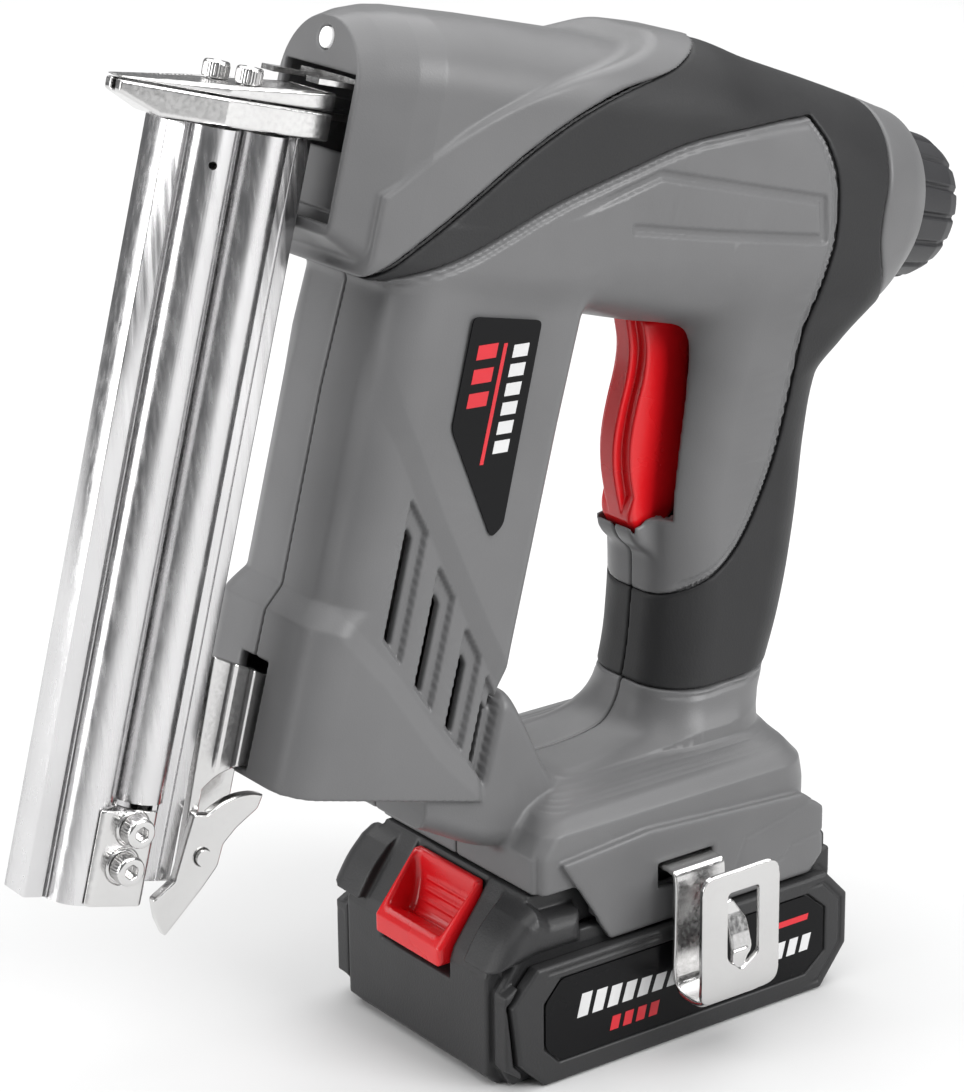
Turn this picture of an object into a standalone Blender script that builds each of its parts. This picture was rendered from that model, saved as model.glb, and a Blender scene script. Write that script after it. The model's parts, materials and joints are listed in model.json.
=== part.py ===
"""Cordless brad nailer with its slide-on battery, as separate pieces at real size.

World frame: +Z up, +X to the rear, -Y is the side with the belt hook. The origin is the middle of
the battery's flat bottom. The driving head, its column and the magazine are pitched, so they have a
frame of their own: a head point is (u, y, v), with u along the barrel to the rear and v square to
it. All sizes are in millimetres and become metres as meshes are made.
"""
import math

import bmesh
import bpy
from mathutils import Matrix, Vector

MM = 0.001
GAP = 0.3  # clearance between pieces that touch
PARTING = 0.15  # each housing half stops this far from the middle plane
CORNER_STEPS = 5

# Driving dimensions
NOSE_X, NOSE_Z = -128.4, 249.0  # where the brad leaves the nose
HEAD_PITCH = 15.0
WALL = 2.6
GRIP_SKIN = 1.3

FACE_U = 51.5  # front face of the head
REAR_U = 221.5  # rear end of the cap, where the knob starts
KNOB_RADIUS = 19.6
KNOB_END_U = 241.5

COLUMN_FRONT, COLUMN_REAR, COLUMN_HALF = 68.2, 121.0, 24.0
COLUMN_BOTTOM = -151.7
MOTOR_U = 93.0
MOTOR_RADIUS = 17.8

BARREL_INNER, BARREL_OUTER = 13.5, 15.5
BARREL_FRONT = 106.0
RACK_PITCH = 9.4
DRIVER_TIP_U = 46.5  # tip of the driver blade, drawn back behind the brads
PISTON_U = 158.0
PISTON_LENGTH = 11.0

NOSE_HALF = 9.0
NOSE_SPLIT = 1.2  # height of the joint between the two nose plates
BRAD_LENGTH = 29.5

MAGAZINE_FRONT, MAGAZINE_REAR = 12.0, 50.0
MAGAZINE_TOP, MAGAZINE_BOTTOM = -5.5, -180.5
MAGAZINE_HALF = 4.5
CHANNEL_FRONT, CHANNEL_REAR = 13.6, 44.4
CHANNEL_HALF = 0.9
RIB_RADIUS = 6.0
RIB_CENTRES = (24.0, 36.7)

SCREW_PLACES = ((112.0, -146.6), (74.5, -146.6), (112.0, -29.5), (178.0, -26.0))
SCREW_SEAT = 20.0

BATTERY_FRONT, BATTERY_REAR = -55.2, 51.4
BATTERY_HALF = 33.0
BATTERY_FACE_HALF = 29.6
BATTERY_SIDE = 37.5
BATTERY_TOP = 47.0
CELL_RADIUS, CELL_LENGTH = 9.1, 65.0


# ---------------------------------------------------------------- frames
WORLD = Matrix.Identity(4)
HEAD = Matrix.Translation((NOSE_X, 0, NOSE_Z)) @ Matrix.Rotation(math.radians(HEAD_PITCH), 4, "Y")


# ---------------------------------------------------------------- materials
def material(name, colour, roughness, metallic=0.0):
    made = bpy.data.materials.new(name)
    made.use_nodes = True
    shader = made.node_tree.nodes["Principled BSDF"]
    shader.inputs["Base Color"].default_value = (*colour, 1.0)
    shader.inputs["Roughness"].default_value = roughness
    shader.inputs["Metallic"].default_value = metallic
    made.diffuse_color = (*colour, 1.0)
    return made


# ---------------------------------------------------------------- objects
def finish(name, bm, look, frame=WORLD):
    """A named object from a bmesh in millimetres."""
    bmesh.ops.recalc_face_normals(bm, faces=bm.faces)
    bm.transform(Matrix.Scale(MM, 4) @ frame)
    mesh = bpy.data.meshes.new(name)
    bm.to_mesh(mesh)
    bm.free()
    mesh.shade_smooth()
    mesh.set_sharp_from_angle(angle=math.radians(35))
    made = bpy.data.objects.new(name, mesh)
    bpy.context.scene.collection.objects.link(made)
    if look:
        mesh.materials.append(look)
    return made


def remove(objects):
    for other in objects:
        bpy.data.objects.remove(other)


def boolean(target, operation, others):
    """Applies one Boolean for each of the other objects, and deletes them."""
    looks = list(target.data.materials)
    for other in others:
        modifier = target.modifiers.new(operation, "BOOLEAN")
        modifier.operation = operation
        modifier.solver = "EXACT"
        modifier.object = other
        graph = bpy.context.evaluated_depsgraph_get()
        mesh = bpy.data.meshes.new_from_object(target.evaluated_get(graph))
        target.modifiers.clear()
        target.data = mesh
    mesh.materials.clear()
    for look in looks:
        mesh.materials.append(look)
    mesh.shade_smooth()
    mesh.set_sharp_from_angle(angle=math.radians(35))
    remove(others)
    return target


def cut(target, *others):
    return boolean(target, "DIFFERENCE", others)


def join(target, *others):
    return boolean(target, "UNION", others)


def common(target, *others):
    return boolean(target, "INTERSECT", others)


def copy_of(source, name):
    made = source.copy()
    made.data = source.data.copy()
    made.name = name
    bpy.context.scene.collection.objects.link(made)
    return made


def mirrored(source, name):
    """The same piece on the other side of the middle plane."""
    made = copy_of(source, name)
    bm = bmesh.new()
    bm.from_mesh(made.data)
    bm.transform(Matrix.Scale(-1, 4, (0, 1, 0)))
    bmesh.ops.reverse_faces(bm, faces=bm.faces)
    bm.to_mesh(made.data)
    bm.free()
    return made


def pivot(target, frame, point):
    """Moves the object's origin to a point of a frame, and leaves its shape where it is."""
    place = frame @ Vector(point) * MM
    target.data.transform(Matrix.Translation(-place))
    target.location = place
    return target


# ---------------------------------------------------------------- shapes
def arc_corner(centre_d, centre_y, radius, start):
    turn = math.pi / 2
    steps = [start + turn * k / CORNER_STEPS for k in range(CORNER_STEPS + 1)]
    return [(centre_d + radius * math.cos(a), centre_y + radius * math.sin(a)) for a in steps]


def section(low, high, half, r_low, r_high):
    """Outline (depth, y) of a rounded section, with its own corner radius at each end."""
    top, base = high - r_high, low + r_low
    return (
        arc_corner(top, half - r_high, r_high, 0)
        + arc_corner(base, half - r_low, r_low, math.pi / 2)
        + arc_corner(base, r_low - half, r_low, math.pi)
        + arc_corner(top, r_high - half, r_high, 1.5 * math.pi)
    )


def loft_faces(bm, rings):
    rows = [[bm.verts.new(point) for point in ring] for ring in rings]
    count = len(rows[0])
    for near, far in zip(rows, rows[1:]):
        for i in range(count):
            j = (i + 1) % count
            bm.faces.new((near[i], near[j], far[j], far[i]))
    bm.faces.new(rows[0])
    bm.faces.new(rows[-1])


def loft(name, stations, along, frame, look=None, inset=0.0):
    """A solid through rounded sections (place, low, high, half, r_low, r_high).

    along says how a section lies in its frame: "x" for sections square to x, whose depth is z, and
    "z" for sections square to z, whose depth is x. An inset makes every section that much smaller,
    and brings both ends in as far.
    """
    bm = bmesh.new()
    rings = []
    for i, (place, low, high, half, r_low, r_high) in enumerate(stations):
        if i == 0:
            place += inset
        elif i == len(stations) - 1:
            place -= inset
        radii = max(r_low - inset, 0.8), max(r_high - inset, 0.8)
        outline = section(low + inset, high - inset, half - inset, *radii)
        if along == "x":
            rings.append([(place, y, depth) for depth, y in outline])
        else:
            rings.append([(depth, y, place) for depth, y in outline])
    loft_faces(bm, rings)
    return finish(name, bm, look, frame)


def box(name, low, high, frame=WORLD, look=None, bevel=0.0):
    bm = bmesh.new()
    bmesh.ops.create_cube(bm, size=1.0)
    size = [b - a for a, b in zip(low, high)]
    middle = [(a + b) / 2 for a, b in zip(low, high)]
    bm.transform(Matrix.Translation(middle) @ Matrix.Diagonal((*size, 1.0)))
    if bevel:
        bmesh.ops.bevel(bm, geom=bm.edges[:], offset=bevel, segments=2, profile=0.5, affect="EDGES")
    return finish(name, bm, look, frame)


def plate(name, outline, y0, y1, frame=WORLD, look=None, bevel=0.0):
    """A side-view outline of (x, z) points, extruded from y0 to y1."""
    bm = bmesh.new()
    face = bm.faces.new([bm.verts.new((x, y0, z)) for x, z in outline])
    swept = bmesh.ops.extrude_face_region(bm, geom=[face])["geom"]
    verts = [g for g in swept if isinstance(g, bmesh.types.BMVert)]
    bmesh.ops.translate(bm, verts=verts, vec=(0, y1 - y0, 0))
    if bevel:
        bmesh.ops.bevel(bm, geom=bm.edges[:], offset=bevel, segments=2, profile=0.5, affect="EDGES")
    return finish(name, bm, look, frame)


def turned(name, profile, frame, direction, look=None, segments=32):
    """A solid of revolution: (place, radius) points along an axis through the frame's origin."""
    bm = bmesh.new()
    rings = []
    for place, radius in profile:
        angles = [2 * math.pi * k / segments for k in range(segments)]
        ring = [(radius * math.cos(a), radius * math.sin(a), place) for a in angles]
        rings.append(ring)
    loft_faces(bm, rings)
    bm.transform(Vector((0, 0, 1)).rotation_difference(Vector(direction)).to_matrix().to_4x4())
    return finish(name, bm, look, frame)


def rod(name, start, end, radius, frame=WORLD, look=None, segments=20):
    """A round bar between two points of a frame."""
    run = Vector(end) - Vector(start)
    placed = frame @ Matrix.Translation(start)
    return turned(name, [(0, radius), (run.length, radius)], placed, run, look, segments)


def coil(name, start, end, radius, wire, turns, frame, look, sides=6, per_turn=10):
    """A helical spring whose wire is a round tube."""
    run = Vector(end) - Vector(start)
    spin = Vector((0, 0, 1)).rotation_difference(run).to_matrix()
    count = int(turns * per_turn)
    rings = []
    for i in range(count + 1):
        a = 2 * math.pi * i / per_turn
        centre = Vector((radius * math.cos(a), radius * math.sin(a), run.length * i / count))
        out = Vector((math.cos(a), math.sin(a), 0))
        ring = []
        for k in range(sides):
            b = 2 * math.pi * k / sides
            ring.append(centre + wire * (math.cos(b) * out + math.sin(b) * Vector((0, 0, 1))))
        rings.append([Vector(start) + spin @ point for point in ring])
    bm = bmesh.new()
    loft_faces(bm, rings)
    return finish(name, bm, look, frame)


def socket_screw(name, seat, direction, look, frame, radius=3.5, height=4.0, shank=2.0, length=6.0):
    """A cap screw with a hexagon socket; seat is where its head meets the part."""
    placed = frame @ Matrix.Translation(seat)
    profile = [(-length, shank), (0, shank), (0, radius), (height - 0.4, radius), (height, radius - 0.4)]
    screw = turned(name, profile, placed, direction, look, 24)
    way = Vector(direction).normalized()
    depth = Vector(seat) + way * (height - 2.2)
    socket = rod("socket", depth, Vector(seat) + way * (height + 1), 1.7, frame, None, 6)
    return cut(screw, socket)


# ---------------------------------------------------------------- housing shapes
HEAD_REAR = [
    (66, -33.6, 24.0, 21.5, 6, 15),
    (85, -34.0, 27.0, 24.0, 7, 17),
    (110, -34.0, 30.0, 26.0, 8, 18),
    (147, -34.0, 31.8, 27.6, 10, 20),
    (165, -34.0, 29.4, 28.0, 12, 21),
    (185, -34.0, 27.2, 28.0, 14, 21),
    (204, -31.8, 24.9, 27.6, 18, 22),
    (214, -28.6, 23.6, 26.0, 21, 22.5),
    (REAR_U - 1.6, -24.9, 23.0, 23.9, 23.7, 23.7),
    (REAR_U, -23.4, 21.5, 22.4, 22.2, 22.2),
]
HEAD_FRONT = [
    (FACE_U, -25.0, 21.9, 15.6, 3, 15.2),
    (57, -28.0, 23.9, 17.8, 4, 15.5),
    (64, -31.5, 25.4, 20.6, 5, 16),
    (70, -33.2, 26.0, 22.4, 6, 16),
    (90, -33.6, 27.0, 23.6, 7, 17),
    (115, -33.6, 27.6, 25.2, 8, 18),
    (150, -33.6, 28.0, 26.4, 9, 19),
]
COLUMN = [
    (COLUMN_BOTTOM, 64.2, COLUMN_REAR + 1, 23.6, 9, 4),
    (-113, 64.8, COLUMN_REAR, COLUMN_HALF, 10, 4),
    (-107, COLUMN_FRONT, COLUMN_REAR, COLUMN_HALF, 11.5, 4),
    (-60, COLUMN_FRONT, COLUMN_REAR, COLUMN_HALF, 11.5, 4),
    (-33.4, 69.5, COLUMN_REAR + 1, COLUMN_HALF - 0.6, 11, 4),
    (-20, 71.0, COLUMN_REAR, 22.0, 10, 4),
]
HANDLE = [
    (60, 1.0, 43.0, 20.0, 14, 14),
    (71, 6.0, 41.6, 18.6, 13, 13),
    (79, 9.2, 44.5, 17.4, 12.5, 12.5),
    (94, 12.0, 49.9, 17.0, 12.5, 12.5),
    (109, 13.0, 53.4, 17.0, 12.5, 12.5),
    (124, 12.6, 55.6, 17.2, 12.5, 12.5),
    (140, 14.5, 57.0, 17.8, 12.5, 12.5),
    (155, 17.6, 59.6, 19.0, 12, 13),
    (163, 19.0, 66.0, 20.2, 12, 13),
    (184, 22.0, 84.0, 21.0, 12, 13),
]
BASE = [
    (36, -42.5, 45.6, 33.5, 3.5, 11),
    (56.5, -42.5, 45.6, 33.5, 3.5, 11),
    (61.5, -39.6, 45.0, 33.0, 5, 11),
    (66, -35.0, 41.6, 29.0, 7, 11),
    (71.5, -27.0, 37.0, 21.0, 8, 12),
]
BRIDGE = [
    (-66, 66.0, 90.0, 20.0, 6, 8),
    (-40, 56.0, 82.0, 22.0, 6, 9),
    (-22, 56.0, 74.0, 21.5, 6, 9),
    (12, 56.0, 73.0, 19.5, 6, 9),
]
REAR_EDGE = [
    (73.0, 240), (73.9, 221), (70.2, 206), (67.6, 194), (67.3, 186), (70.0, 176), (78.9, 163), (92, 148),
]
COVER_EDGE = [(61.5, -33.9), (78, -17.5), (96.5, 1.7), (113, 14.7), (133, 24.5), (146, 32.5)]
GRIP_LOW_EDGE = [(64, -33.6), (84, -24), (104, -10.2), (122, 0), (140, 9.3), (160, 15.5), (176, 19.4)]
GRIP_BACK_EDGE = [
    (181, 14.5), (186.5, 4.9), (189.6, -8), (189, -22), (193, -48), (193, -69), (187, -90), (171, -105),
]
VENTS = [(84.4, -87.2, -113.8), (95.9, -102.1, -124.5), (107.2, -116.1, -134.1), (116.3, -127.8, -142.2)]


def body_solid(name, inset=0.0):
    """The outside of both housing halves together, or the space inside them."""
    solid = loft(name, HEAD_REAR, "x", HEAD, None, inset)
    others = [
        loft("column", COLUMN, "z", HEAD, None, inset),
        loft("handle", HANDLE, "z", WORLD, None, inset),
        loft("base", BASE, "z", WORLD, None, inset),
        loft("bridge", BRIDGE, "x", WORLD, None, inset),
    ]
    return join(solid, *others)


def cover_side(gap):
    """The part of the head that the front cover takes, in front of its slanted edge."""
    edge = [(u + gap, v) for u, v in COVER_EDGE]
    return plate("cover_side", [(40, -33.9), *edge, (150 + gap, 60), (40, 60)], -60, 60, HEAD)


def cap_side(gap):
    """Everything behind the upright edge where the rear cap starts."""
    edge = [(x + gap, z) for x, z in REAR_EDGE]
    return plate("cap_side", [*edge, (200, 148), (200, 240)], -60, 60)


SLEEVE_TOP = [(0, 101.6), (13, 103.2), (22, 106), (31, 113)]


def grip_region(gap):
    """Side view of the soft grip: over the rear of the head, round it and down the handle."""
    low = [(u, v + gap) for u, v in GRIP_LOW_EDGE]
    back = [(u + gap, v) for u, v in GRIP_BACK_EDGE]
    outline = [(60, -33.6), *low, *back, (168, -107.5), (240, -88.5), (300, -60), (300, 70), (60, 70)]
    upper = plate("grip", outline, -60, 60, HEAD)
    lower = plate("sleeve", SLEEVE_TOP + [(80, 116), (80, 88 + gap), (0, 82 + gap)], -58, 58)
    return join(upper, lower)


def lower_half_space():
    return box("side", (-400, -100, -50), (400, -PARTING, 400))


def vent_slots():
    """Four air slots on the motor column, whose ends follow the side's diagonal."""
    slots = []
    for u, top, base in VENTS:
        outline = [(u, top), (u + 1.5, top - 2.5), (u + 1.5, base - 1.6), (u, base + 0.4)]
        slots.append(plate("slot", outline, -40, -16, HEAD))
    return slots


def housing_halves(look):
    left = body_solid("housing_left")
    left.data.materials.append(look)
    common(left, lower_half_space())
    cut(left, body_solid("space", WALL))
    skin = cut(body_solid("skin", -1.0), body_solid("under_skin", GRIP_SKIN + GAP))
    grip_seat = common(skin, grip_region(-GAP))
    battery_room = box("battery_room", (-80, -BATTERY_HALF + 2.2, 20), (80, 60, BATTERY_TOP + GAP))
    front_room = box("front_room", (-80, -60, 20), (-26, 60, BATTERY_TOP + GAP))
    panel_room = box("panel_room", (-80, -60, 20), (80, 60, 38.4))
    trigger_slot = box("trigger_slot", (-20, -6.6, 117.6), (40, 60, 176))
    hook_room = box("hook_room", (-7.5, -60, 41.0), (9.5, -31.4, 52.5))
    bracket_way = box("bracket_way", (55, -5.4, -150.2), (70.5, 60, -121.6), HEAD)
    cut(left, bracket_way)
    cut(left, cover_side(0), cap_side(0), grip_seat)
    cut(left, battery_room, front_room, panel_room, trigger_slot, hook_room)
    cut(left, *vent_slots())
    right = mirrored(left, "housing_right")
    add_bosses(left, right)
    return left, right


def add_bosses(left, right):
    """Tubes between the halves for the housing screws, with sunk heads on the right-hand side."""
    for u, v in SCREW_PLACES:
        join(left, rod("boss", (u, -21.6, v), (u, -PARTING, v), 4.0, HEAD, None, 16))
        cut(left, rod("hole", (u, -9, v), (u, 5, v), 1.7, HEAD, None, 12))
        join(right, rod("boss", (u, PARTING, v), (u, 21.9, v), 4.4, HEAD, None, 16))
        cut(right, rod("hole", (u, -5, v), (u, 30, v), 1.7, HEAD, None, 12))
        cut(right, rod("head_room", (u, SCREW_SEAT - GAP, v), (u, 40, v), 3.1, HEAD, None, 16))


def grips(look):
    left = body_solid("grip_left")
    left.data.materials.append(look)
    common(left, lower_half_space())
    cut(left, body_solid("under", GRIP_SKIN))
    bezel = [(-20, 112), (19, 112), (25, 178), (-20, 178)]
    common(left, grip_region(0))
    cut(left, cap_side(0), cover_side(GAP), plate("bezel", bezel, -60, 60))
    return left, mirrored(left, "grip_right")


def front_cover(look):
    cover = loft("front_cover", HEAD_FRONT, "x", HEAD, look)
    common(cover, cover_side(-GAP))
    space = loft("space", HEAD_FRONT, "x", HEAD, None, WALL)
    floor = box("open_floor", (72, -21, -60), (130, 21, -10), HEAD)
    mouth = box("mouth", (40, -13.6, -22.5), (60, 13.6, 10.6), HEAD)
    lens = rod("lens_hole", (40, 0, 17.0), (70, 0, 17.0), 2.7, HEAD)
    return cut(cover, space, floor, mouth, lens)


def rear_cap(look):
    """The grey end of the head, open to the front, with a hole for the knob's spindle."""
    cap = loft("rear_cap", HEAD_REAR, "x", HEAD, look)
    common(cap, cap_side(GAP))
    space = loft("space", HEAD_REAR[:-1], "x", HEAD, None, WALL)
    hole = rod("hole", (REAR_U - 10, 0, 0), (REAR_U + 10, 0, 0), 8.4, HEAD)
    return cut(cap, space, hole)


def adjuster_knob(look):
    profile = [
        (REAR_U + GAP, KNOB_RADIUS - 0.6),
        (REAR_U + 1.5, KNOB_RADIUS),
        (REAR_U + 13, KNOB_RADIUS - 1.2),
        (KNOB_END_U - 3, KNOB_RADIUS - 3),
        (KNOB_END_U - 0.8, KNOB_RADIUS - 6),
        (KNOB_END_U, KNOB_RADIUS - 8.5),
    ]
    knob = turned("adjuster_knob", profile, HEAD, (1, 0, 0), look, 48)
    grooves = []
    for k in range(16):
        a = 2 * math.pi * (k + 0.5) / 16
        y, v = (KNOB_RADIUS + 0.3) * math.cos(a), (KNOB_RADIUS + 0.3) * math.sin(a)
        ends = (REAR_U + 2, y, v), (REAR_U + 30, y * 0.93, v * 0.93)
        grooves.append(rod("groove", *ends, 1.1, HEAD, None, 8))
    cut(knob, *grooves)
    join(knob, rod("spindle", (REAR_U - 14, 0, 0), (REAR_U + 3, 0, 0), 4.0, HEAD, None, 16))
    return pivot(knob, HEAD, (REAR_U, 0, 0))


# ---------------------------------------------------------------- driving mechanism
def engine(steel, dark, rubber):
    front = BARREL_FRONT
    barrel = rod("barrel", (front, 0, 0), (196, 0, 0), BARREL_OUTER, HEAD, steel, 32)
    cut(barrel, rod("bore", (front + 3, 0, 0), (200, 0, 0), BARREL_INNER, HEAD, None, 32))
    cut(barrel, rod("blade_way", (front - 9, 0, 0), (front + 9, 0, 0), 11.8, HEAD, None, 24))
    bumper = rod("bumper", (front + 3.4, 0, 0), (front + 8, 0, 0), BARREL_INNER - GAP, HEAD, rubber, 24)
    cut(bumper, rod("hole", (front, 0, 0), (front + 20, 0, 0), 11.5, HEAD, None, 24))
    ends = (PISTON_U, 0, 0), (PISTON_U + PISTON_LENGTH, 0, 0)
    piston = rod("piston", *ends, BARREL_INNER - 0.25, HEAD, dark, 32)
    groove = rod("groove", (PISTON_U + 4, 0, 0), (PISTON_U + 7, 0, 0), 20, HEAD, None, 32)
    core = rod("core", *ends, BARREL_INNER - 1.6, HEAD, None, 32)
    cut(piston, cut(groove, core))
    blade = box("driver_blade", (DRIVER_TIP_U, -0.55, -0.8), (PISTON_U - GAP, 0.55, 0.8), HEAD, steel)
    join(blade, box("rack", (98, -1.6, -3.0), (PISTON_U - GAP - 0.4, 9.4, 1.6), HEAD))
    for k in range(4):
        u = 102 + RACK_PITCH * k
        join(blade, box("tooth", (u, 6.7, -6.4), (u + 3.4, 9.2, -2.4), HEAD))
    spring_start = PISTON_U + PISTON_LENGTH + 1.6
    drive_spring = coil("drive_spring", (spring_start, 0, 0), (194, 0, 0), 9.6, 1.2, 6, HEAD, steel)
    seat = rod("spring_seat", (196.6, 0, 0), (200.4, 0, 0), 12.5, HEAD, dark, 24)
    cut(seat, rod("hole", (190, 0, 0), (210, 0, 0), 4.4, HEAD, None, 12))
    return barrel, bumper, piston, blade, drive_spring, seat


def motor_unit(steel, dark, copper):
    can = rod("motor_can", (MOTOR_U, 0, -142), (MOTOR_U, 0, -88), MOTOR_RADIUS, HEAD, steel, 32)
    cut(can, rod("room", (MOTOR_U, 0, -140), (MOTOR_U, 0, -80), MOTOR_RADIUS - 1.5, HEAD, None, 32))
    rotor = turned(
        "motor_rotor", [(-139, 1.6), (-132, 1.6), (-132, 14), (-96, 14), (-96, 1.6), (-84.5, 1.6)],
        HEAD @ Matrix.Translation((MOTOR_U, 0, 0)), (0, 0, 1), copper, 24,
    )
    pivot(rotor, HEAD, (MOTOR_U, 0, -110))
    gearbox = rod("gearbox", (MOTOR_U, 0, -87.4), (MOTOR_U, 0, -40), MOTOR_RADIUS - 0.4, HEAD, dark, 32)
    cut(gearbox, rod("rotor_room", (MOTOR_U, 0, -90), (MOTOR_U, 0, -80), 4.0, HEAD, None, 16))
    cut(gearbox, rod("shaft_room", (MOTOR_U, 0, -60), (MOTOR_U, 0, -30), 4.3, HEAD, None, 16))
    wheel = turned(
        "lifter_wheel", [(-58, 3.9), (-24, 3.9), (-24, 12.5), (-17, 12.5)],
        HEAD @ Matrix.Translation((MOTOR_U, 0, 0)), (0, 0, 1), steel, 24,
    )
    pins = []
    for k in range(1, 6):
        a = math.radians(60 * k)
        u, y = MOTOR_U + 9 * math.sin(a), 9 * math.cos(a)
        pins.append(rod("pin", (u, y, -19), (u, y, -3.6), 1.8, HEAD, None, 12))
    join(wheel, *pins)
    pivot(wheel, HEAD, (MOTOR_U, 0, -20))
    return can, rotor, gearbox, wheel


# ---------------------------------------------------------------- nose
NOSE_SCREWS = ((27.9, 4.6), (31.0, -3.9))


def nose_outline(low_edge):
    """Top view of the nose plates: a narrow tip that widens to the full width."""
    half = NOSE_HALF
    return [(0, -3.2), (low_edge, -half), (51.2, -half), (51.2, half), (low_edge, half), (0, 3.2)]


def nose_blank(name, side_view, look):
    bm = bmesh.new()
    face = bm.faces.new([bm.verts.new((u, y, -20)) for u, y in nose_outline(24)])
    swept = bmesh.ops.extrude_face_region(bm, geom=[face])["geom"]
    bmesh.ops.translate(bm, verts=[g for g in swept if isinstance(g, bmesh.types.BMVert)], vec=(0, 0, 40))
    blank = finish(name, bm, look, HEAD)
    return common(blank, plate("side", side_view, -30, 30, HEAD))


def nose(steel):
    base = nose_blank(
        "nose_base", [(-1, -1.2), (9.6, -5.2), (60, -5.0), (60, NOSE_SPLIT), (-1, NOSE_SPLIT)], steel
    )
    channel = box("channel", (-5, -0.85, -1.2), (120, 0.85, 5), HEAD)
    brad_way = box("brad_way", (12.2, -1.2, -20), (46.2, 1.2, 5), HEAD)
    cut(base, channel, brad_way)
    split = NOSE_SPLIT + GAP
    cover = nose_blank("nose_cover", [(-1, split), (60, split), (60, 6.4), (-1, 1.9)], steel)
    join(cover, box("tongue", (48, -6.5, 2.2), (BARREL_FRONT - GAP, 6.5, 4.6), HEAD))
    screws = []
    for k, (u, y) in enumerate(NOSE_SCREWS, 1):
        seat = 2.0 + 0.074 * u + GAP
        for part in (base, cover):
            cut(part, rod("hole", (u, y, -8), (u, y, 20), 2.3, HEAD, None, 16))
        screws.append(socket_screw(f"nose_screw_{k}", (u, y, seat), (0, 0, 1), steel, HEAD, length=7.5))
    outline = [(44, 7.3), (58, 7.3), (58, 9.4), (54.5, 9.4), (54.5, 8.5), (44, 8.5)]
    clip = plate("jam_clip", outline, -11.5, 11.5, HEAD, steel)
    cut(clip, box("window", (40, -6.5, 5), (56, 6.5, 12), HEAD))
    return base, cover, screws, clip


# ---------------------------------------------------------------- magazine
def prism(name, outline, z0, z1, frame, look=None):
    """A profile of (x, y) points, extruded along z."""
    bm = bmesh.new()
    face = bm.faces.new([bm.verts.new((x, y, z0)) for x, y in outline])
    swept = bmesh.ops.extrude_face_region(bm, geom=[face])["geom"]
    verts = [g for g in swept if isinstance(g, bmesh.types.BMVert)]
    bmesh.ops.translate(bm, verts=verts, vec=(0, 0, z1 - z0))
    return finish(name, bm, look, frame)


def half_round(centre, radius, level, steps=12):
    """Points of an arc round (centre, -MAGAZINE_HALF) that starts and ends at y = level, bulging to -Y."""
    rise = (level + MAGAZINE_HALF) / radius
    first = -math.asin(rise)
    turn = math.pi - 2 * first
    points = []
    for k in range(steps + 1):
        a = first + turn * k / steps
        points.append((centre - radius * math.cos(a), -MAGAZINE_HALF - radius * math.sin(a)))
    return points


def magazine(steel, aluminium, dark):
    top, bottom = MAGAZINE_TOP, MAGAZINE_BOTTOM
    half, inner = MAGAZINE_HALF, CHANNEL_HALF
    first_rib, second_rib = RIB_CENTRES
    outside = [(MAGAZINE_FRONT, half), (MAGAZINE_FRONT, -half), (17.0, -half), (17.0, -half + 0.8)]
    outside += [(17.7, -half + 0.8), (17.7, -half)]
    outside += half_round(first_rib, RIB_RADIUS, -half) + half_round(second_rib, RIB_RADIUS, -half)
    inside = [(42.8, -half), (42.8, -inner)]
    inside += half_round(second_rib, 4.9, -inner)[::-1] + half_round(first_rib, 4.9, -inner)[::-1]
    inside += [(CHANNEL_FRONT, -inner), (CHANNEL_FRONT, inner), (17.0, inner), (17.0, half)]
    cover = prism("magazine_cover", outside + inside, bottom, top, HEAD, aluminium)
    cut(cover, box("short_rib", (30.4, -30, bottom - 5), (60, -half, bottom + 23.5), HEAD))
    cut(cover, rod("hole", (22.0, -20, -13.5), (22.0, -3, -13.5), 0.9, HEAD, None, 10))

    track_profile = [(17.4, inner), (CHANNEL_REAR, inner), (CHANNEL_REAR, -inner), (43.2, -inner)]
    track_profile += [(43.2, -half), (MAGAZINE_REAR, -half), (MAGAZINE_REAR, half), (17.4, half)]
    track = prism("magazine_track", track_profile, bottom + 3.5, top, HEAD, aluminium)

    strip_low = top - 58
    foot_low = strip_low - 20
    strip = box("brad_strip", (14.2, -0.6, strip_low), (14.2 + BRAD_LENGTH, 0.6, -1.2), HEAD, steel)
    pusher = box("pusher", (14.4, -0.6, strip_low - 22), (43.8, 0.6, strip_low - GAP), HEAD, dark)
    join(pusher, box("foot", (33.9, -7.6, foot_low), (39.5, 0.5, foot_low + 8), HEAD))
    spring_ends = (second_rib, -5.1, bottom + 30), (second_rib, -5.1, foot_low - 0.9)
    spring = coil("pusher_spring", *spring_ends, 3.3, 0.5, 14, HEAD, steel, 5, 8)
    corners = (23.4, -12.0, bottom + 0.2), (38.4, -half - 0.6, bottom + 22.6)
    clamp = box("end_clamp", *corners, HEAD, steel, 0.3)
    ends = (24, -half, bottom - 9), (24, -half, bottom + 40)
    rib_way = rod("rib_way", *ends, RIB_RADIUS + GAP, HEAD, None, 24)
    cut(clamp, rib_way)
    screws = []
    for k, n in enumerate((bottom + 18.6, bottom + 9.8), 1):
        m = 33.2 - 0.9 * k
        cut(clamp, rod("hole", (m, -30, n), (m, 0, n), 2.3, HEAD, None, 16))
        screws.append(socket_screw(f"clamp_screw_{k}", (m, -12.3, n), (0, -1, 0), steel, HEAD, length=5.0))
    return cover, track, strip, pusher, spring, clamp, screws


PIN_U, PIN_V = 55.5, -170.2
LEVER_Y = (-7.6, -4.9)
BRACKET_Y = (-4.5, -1.8)


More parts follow.
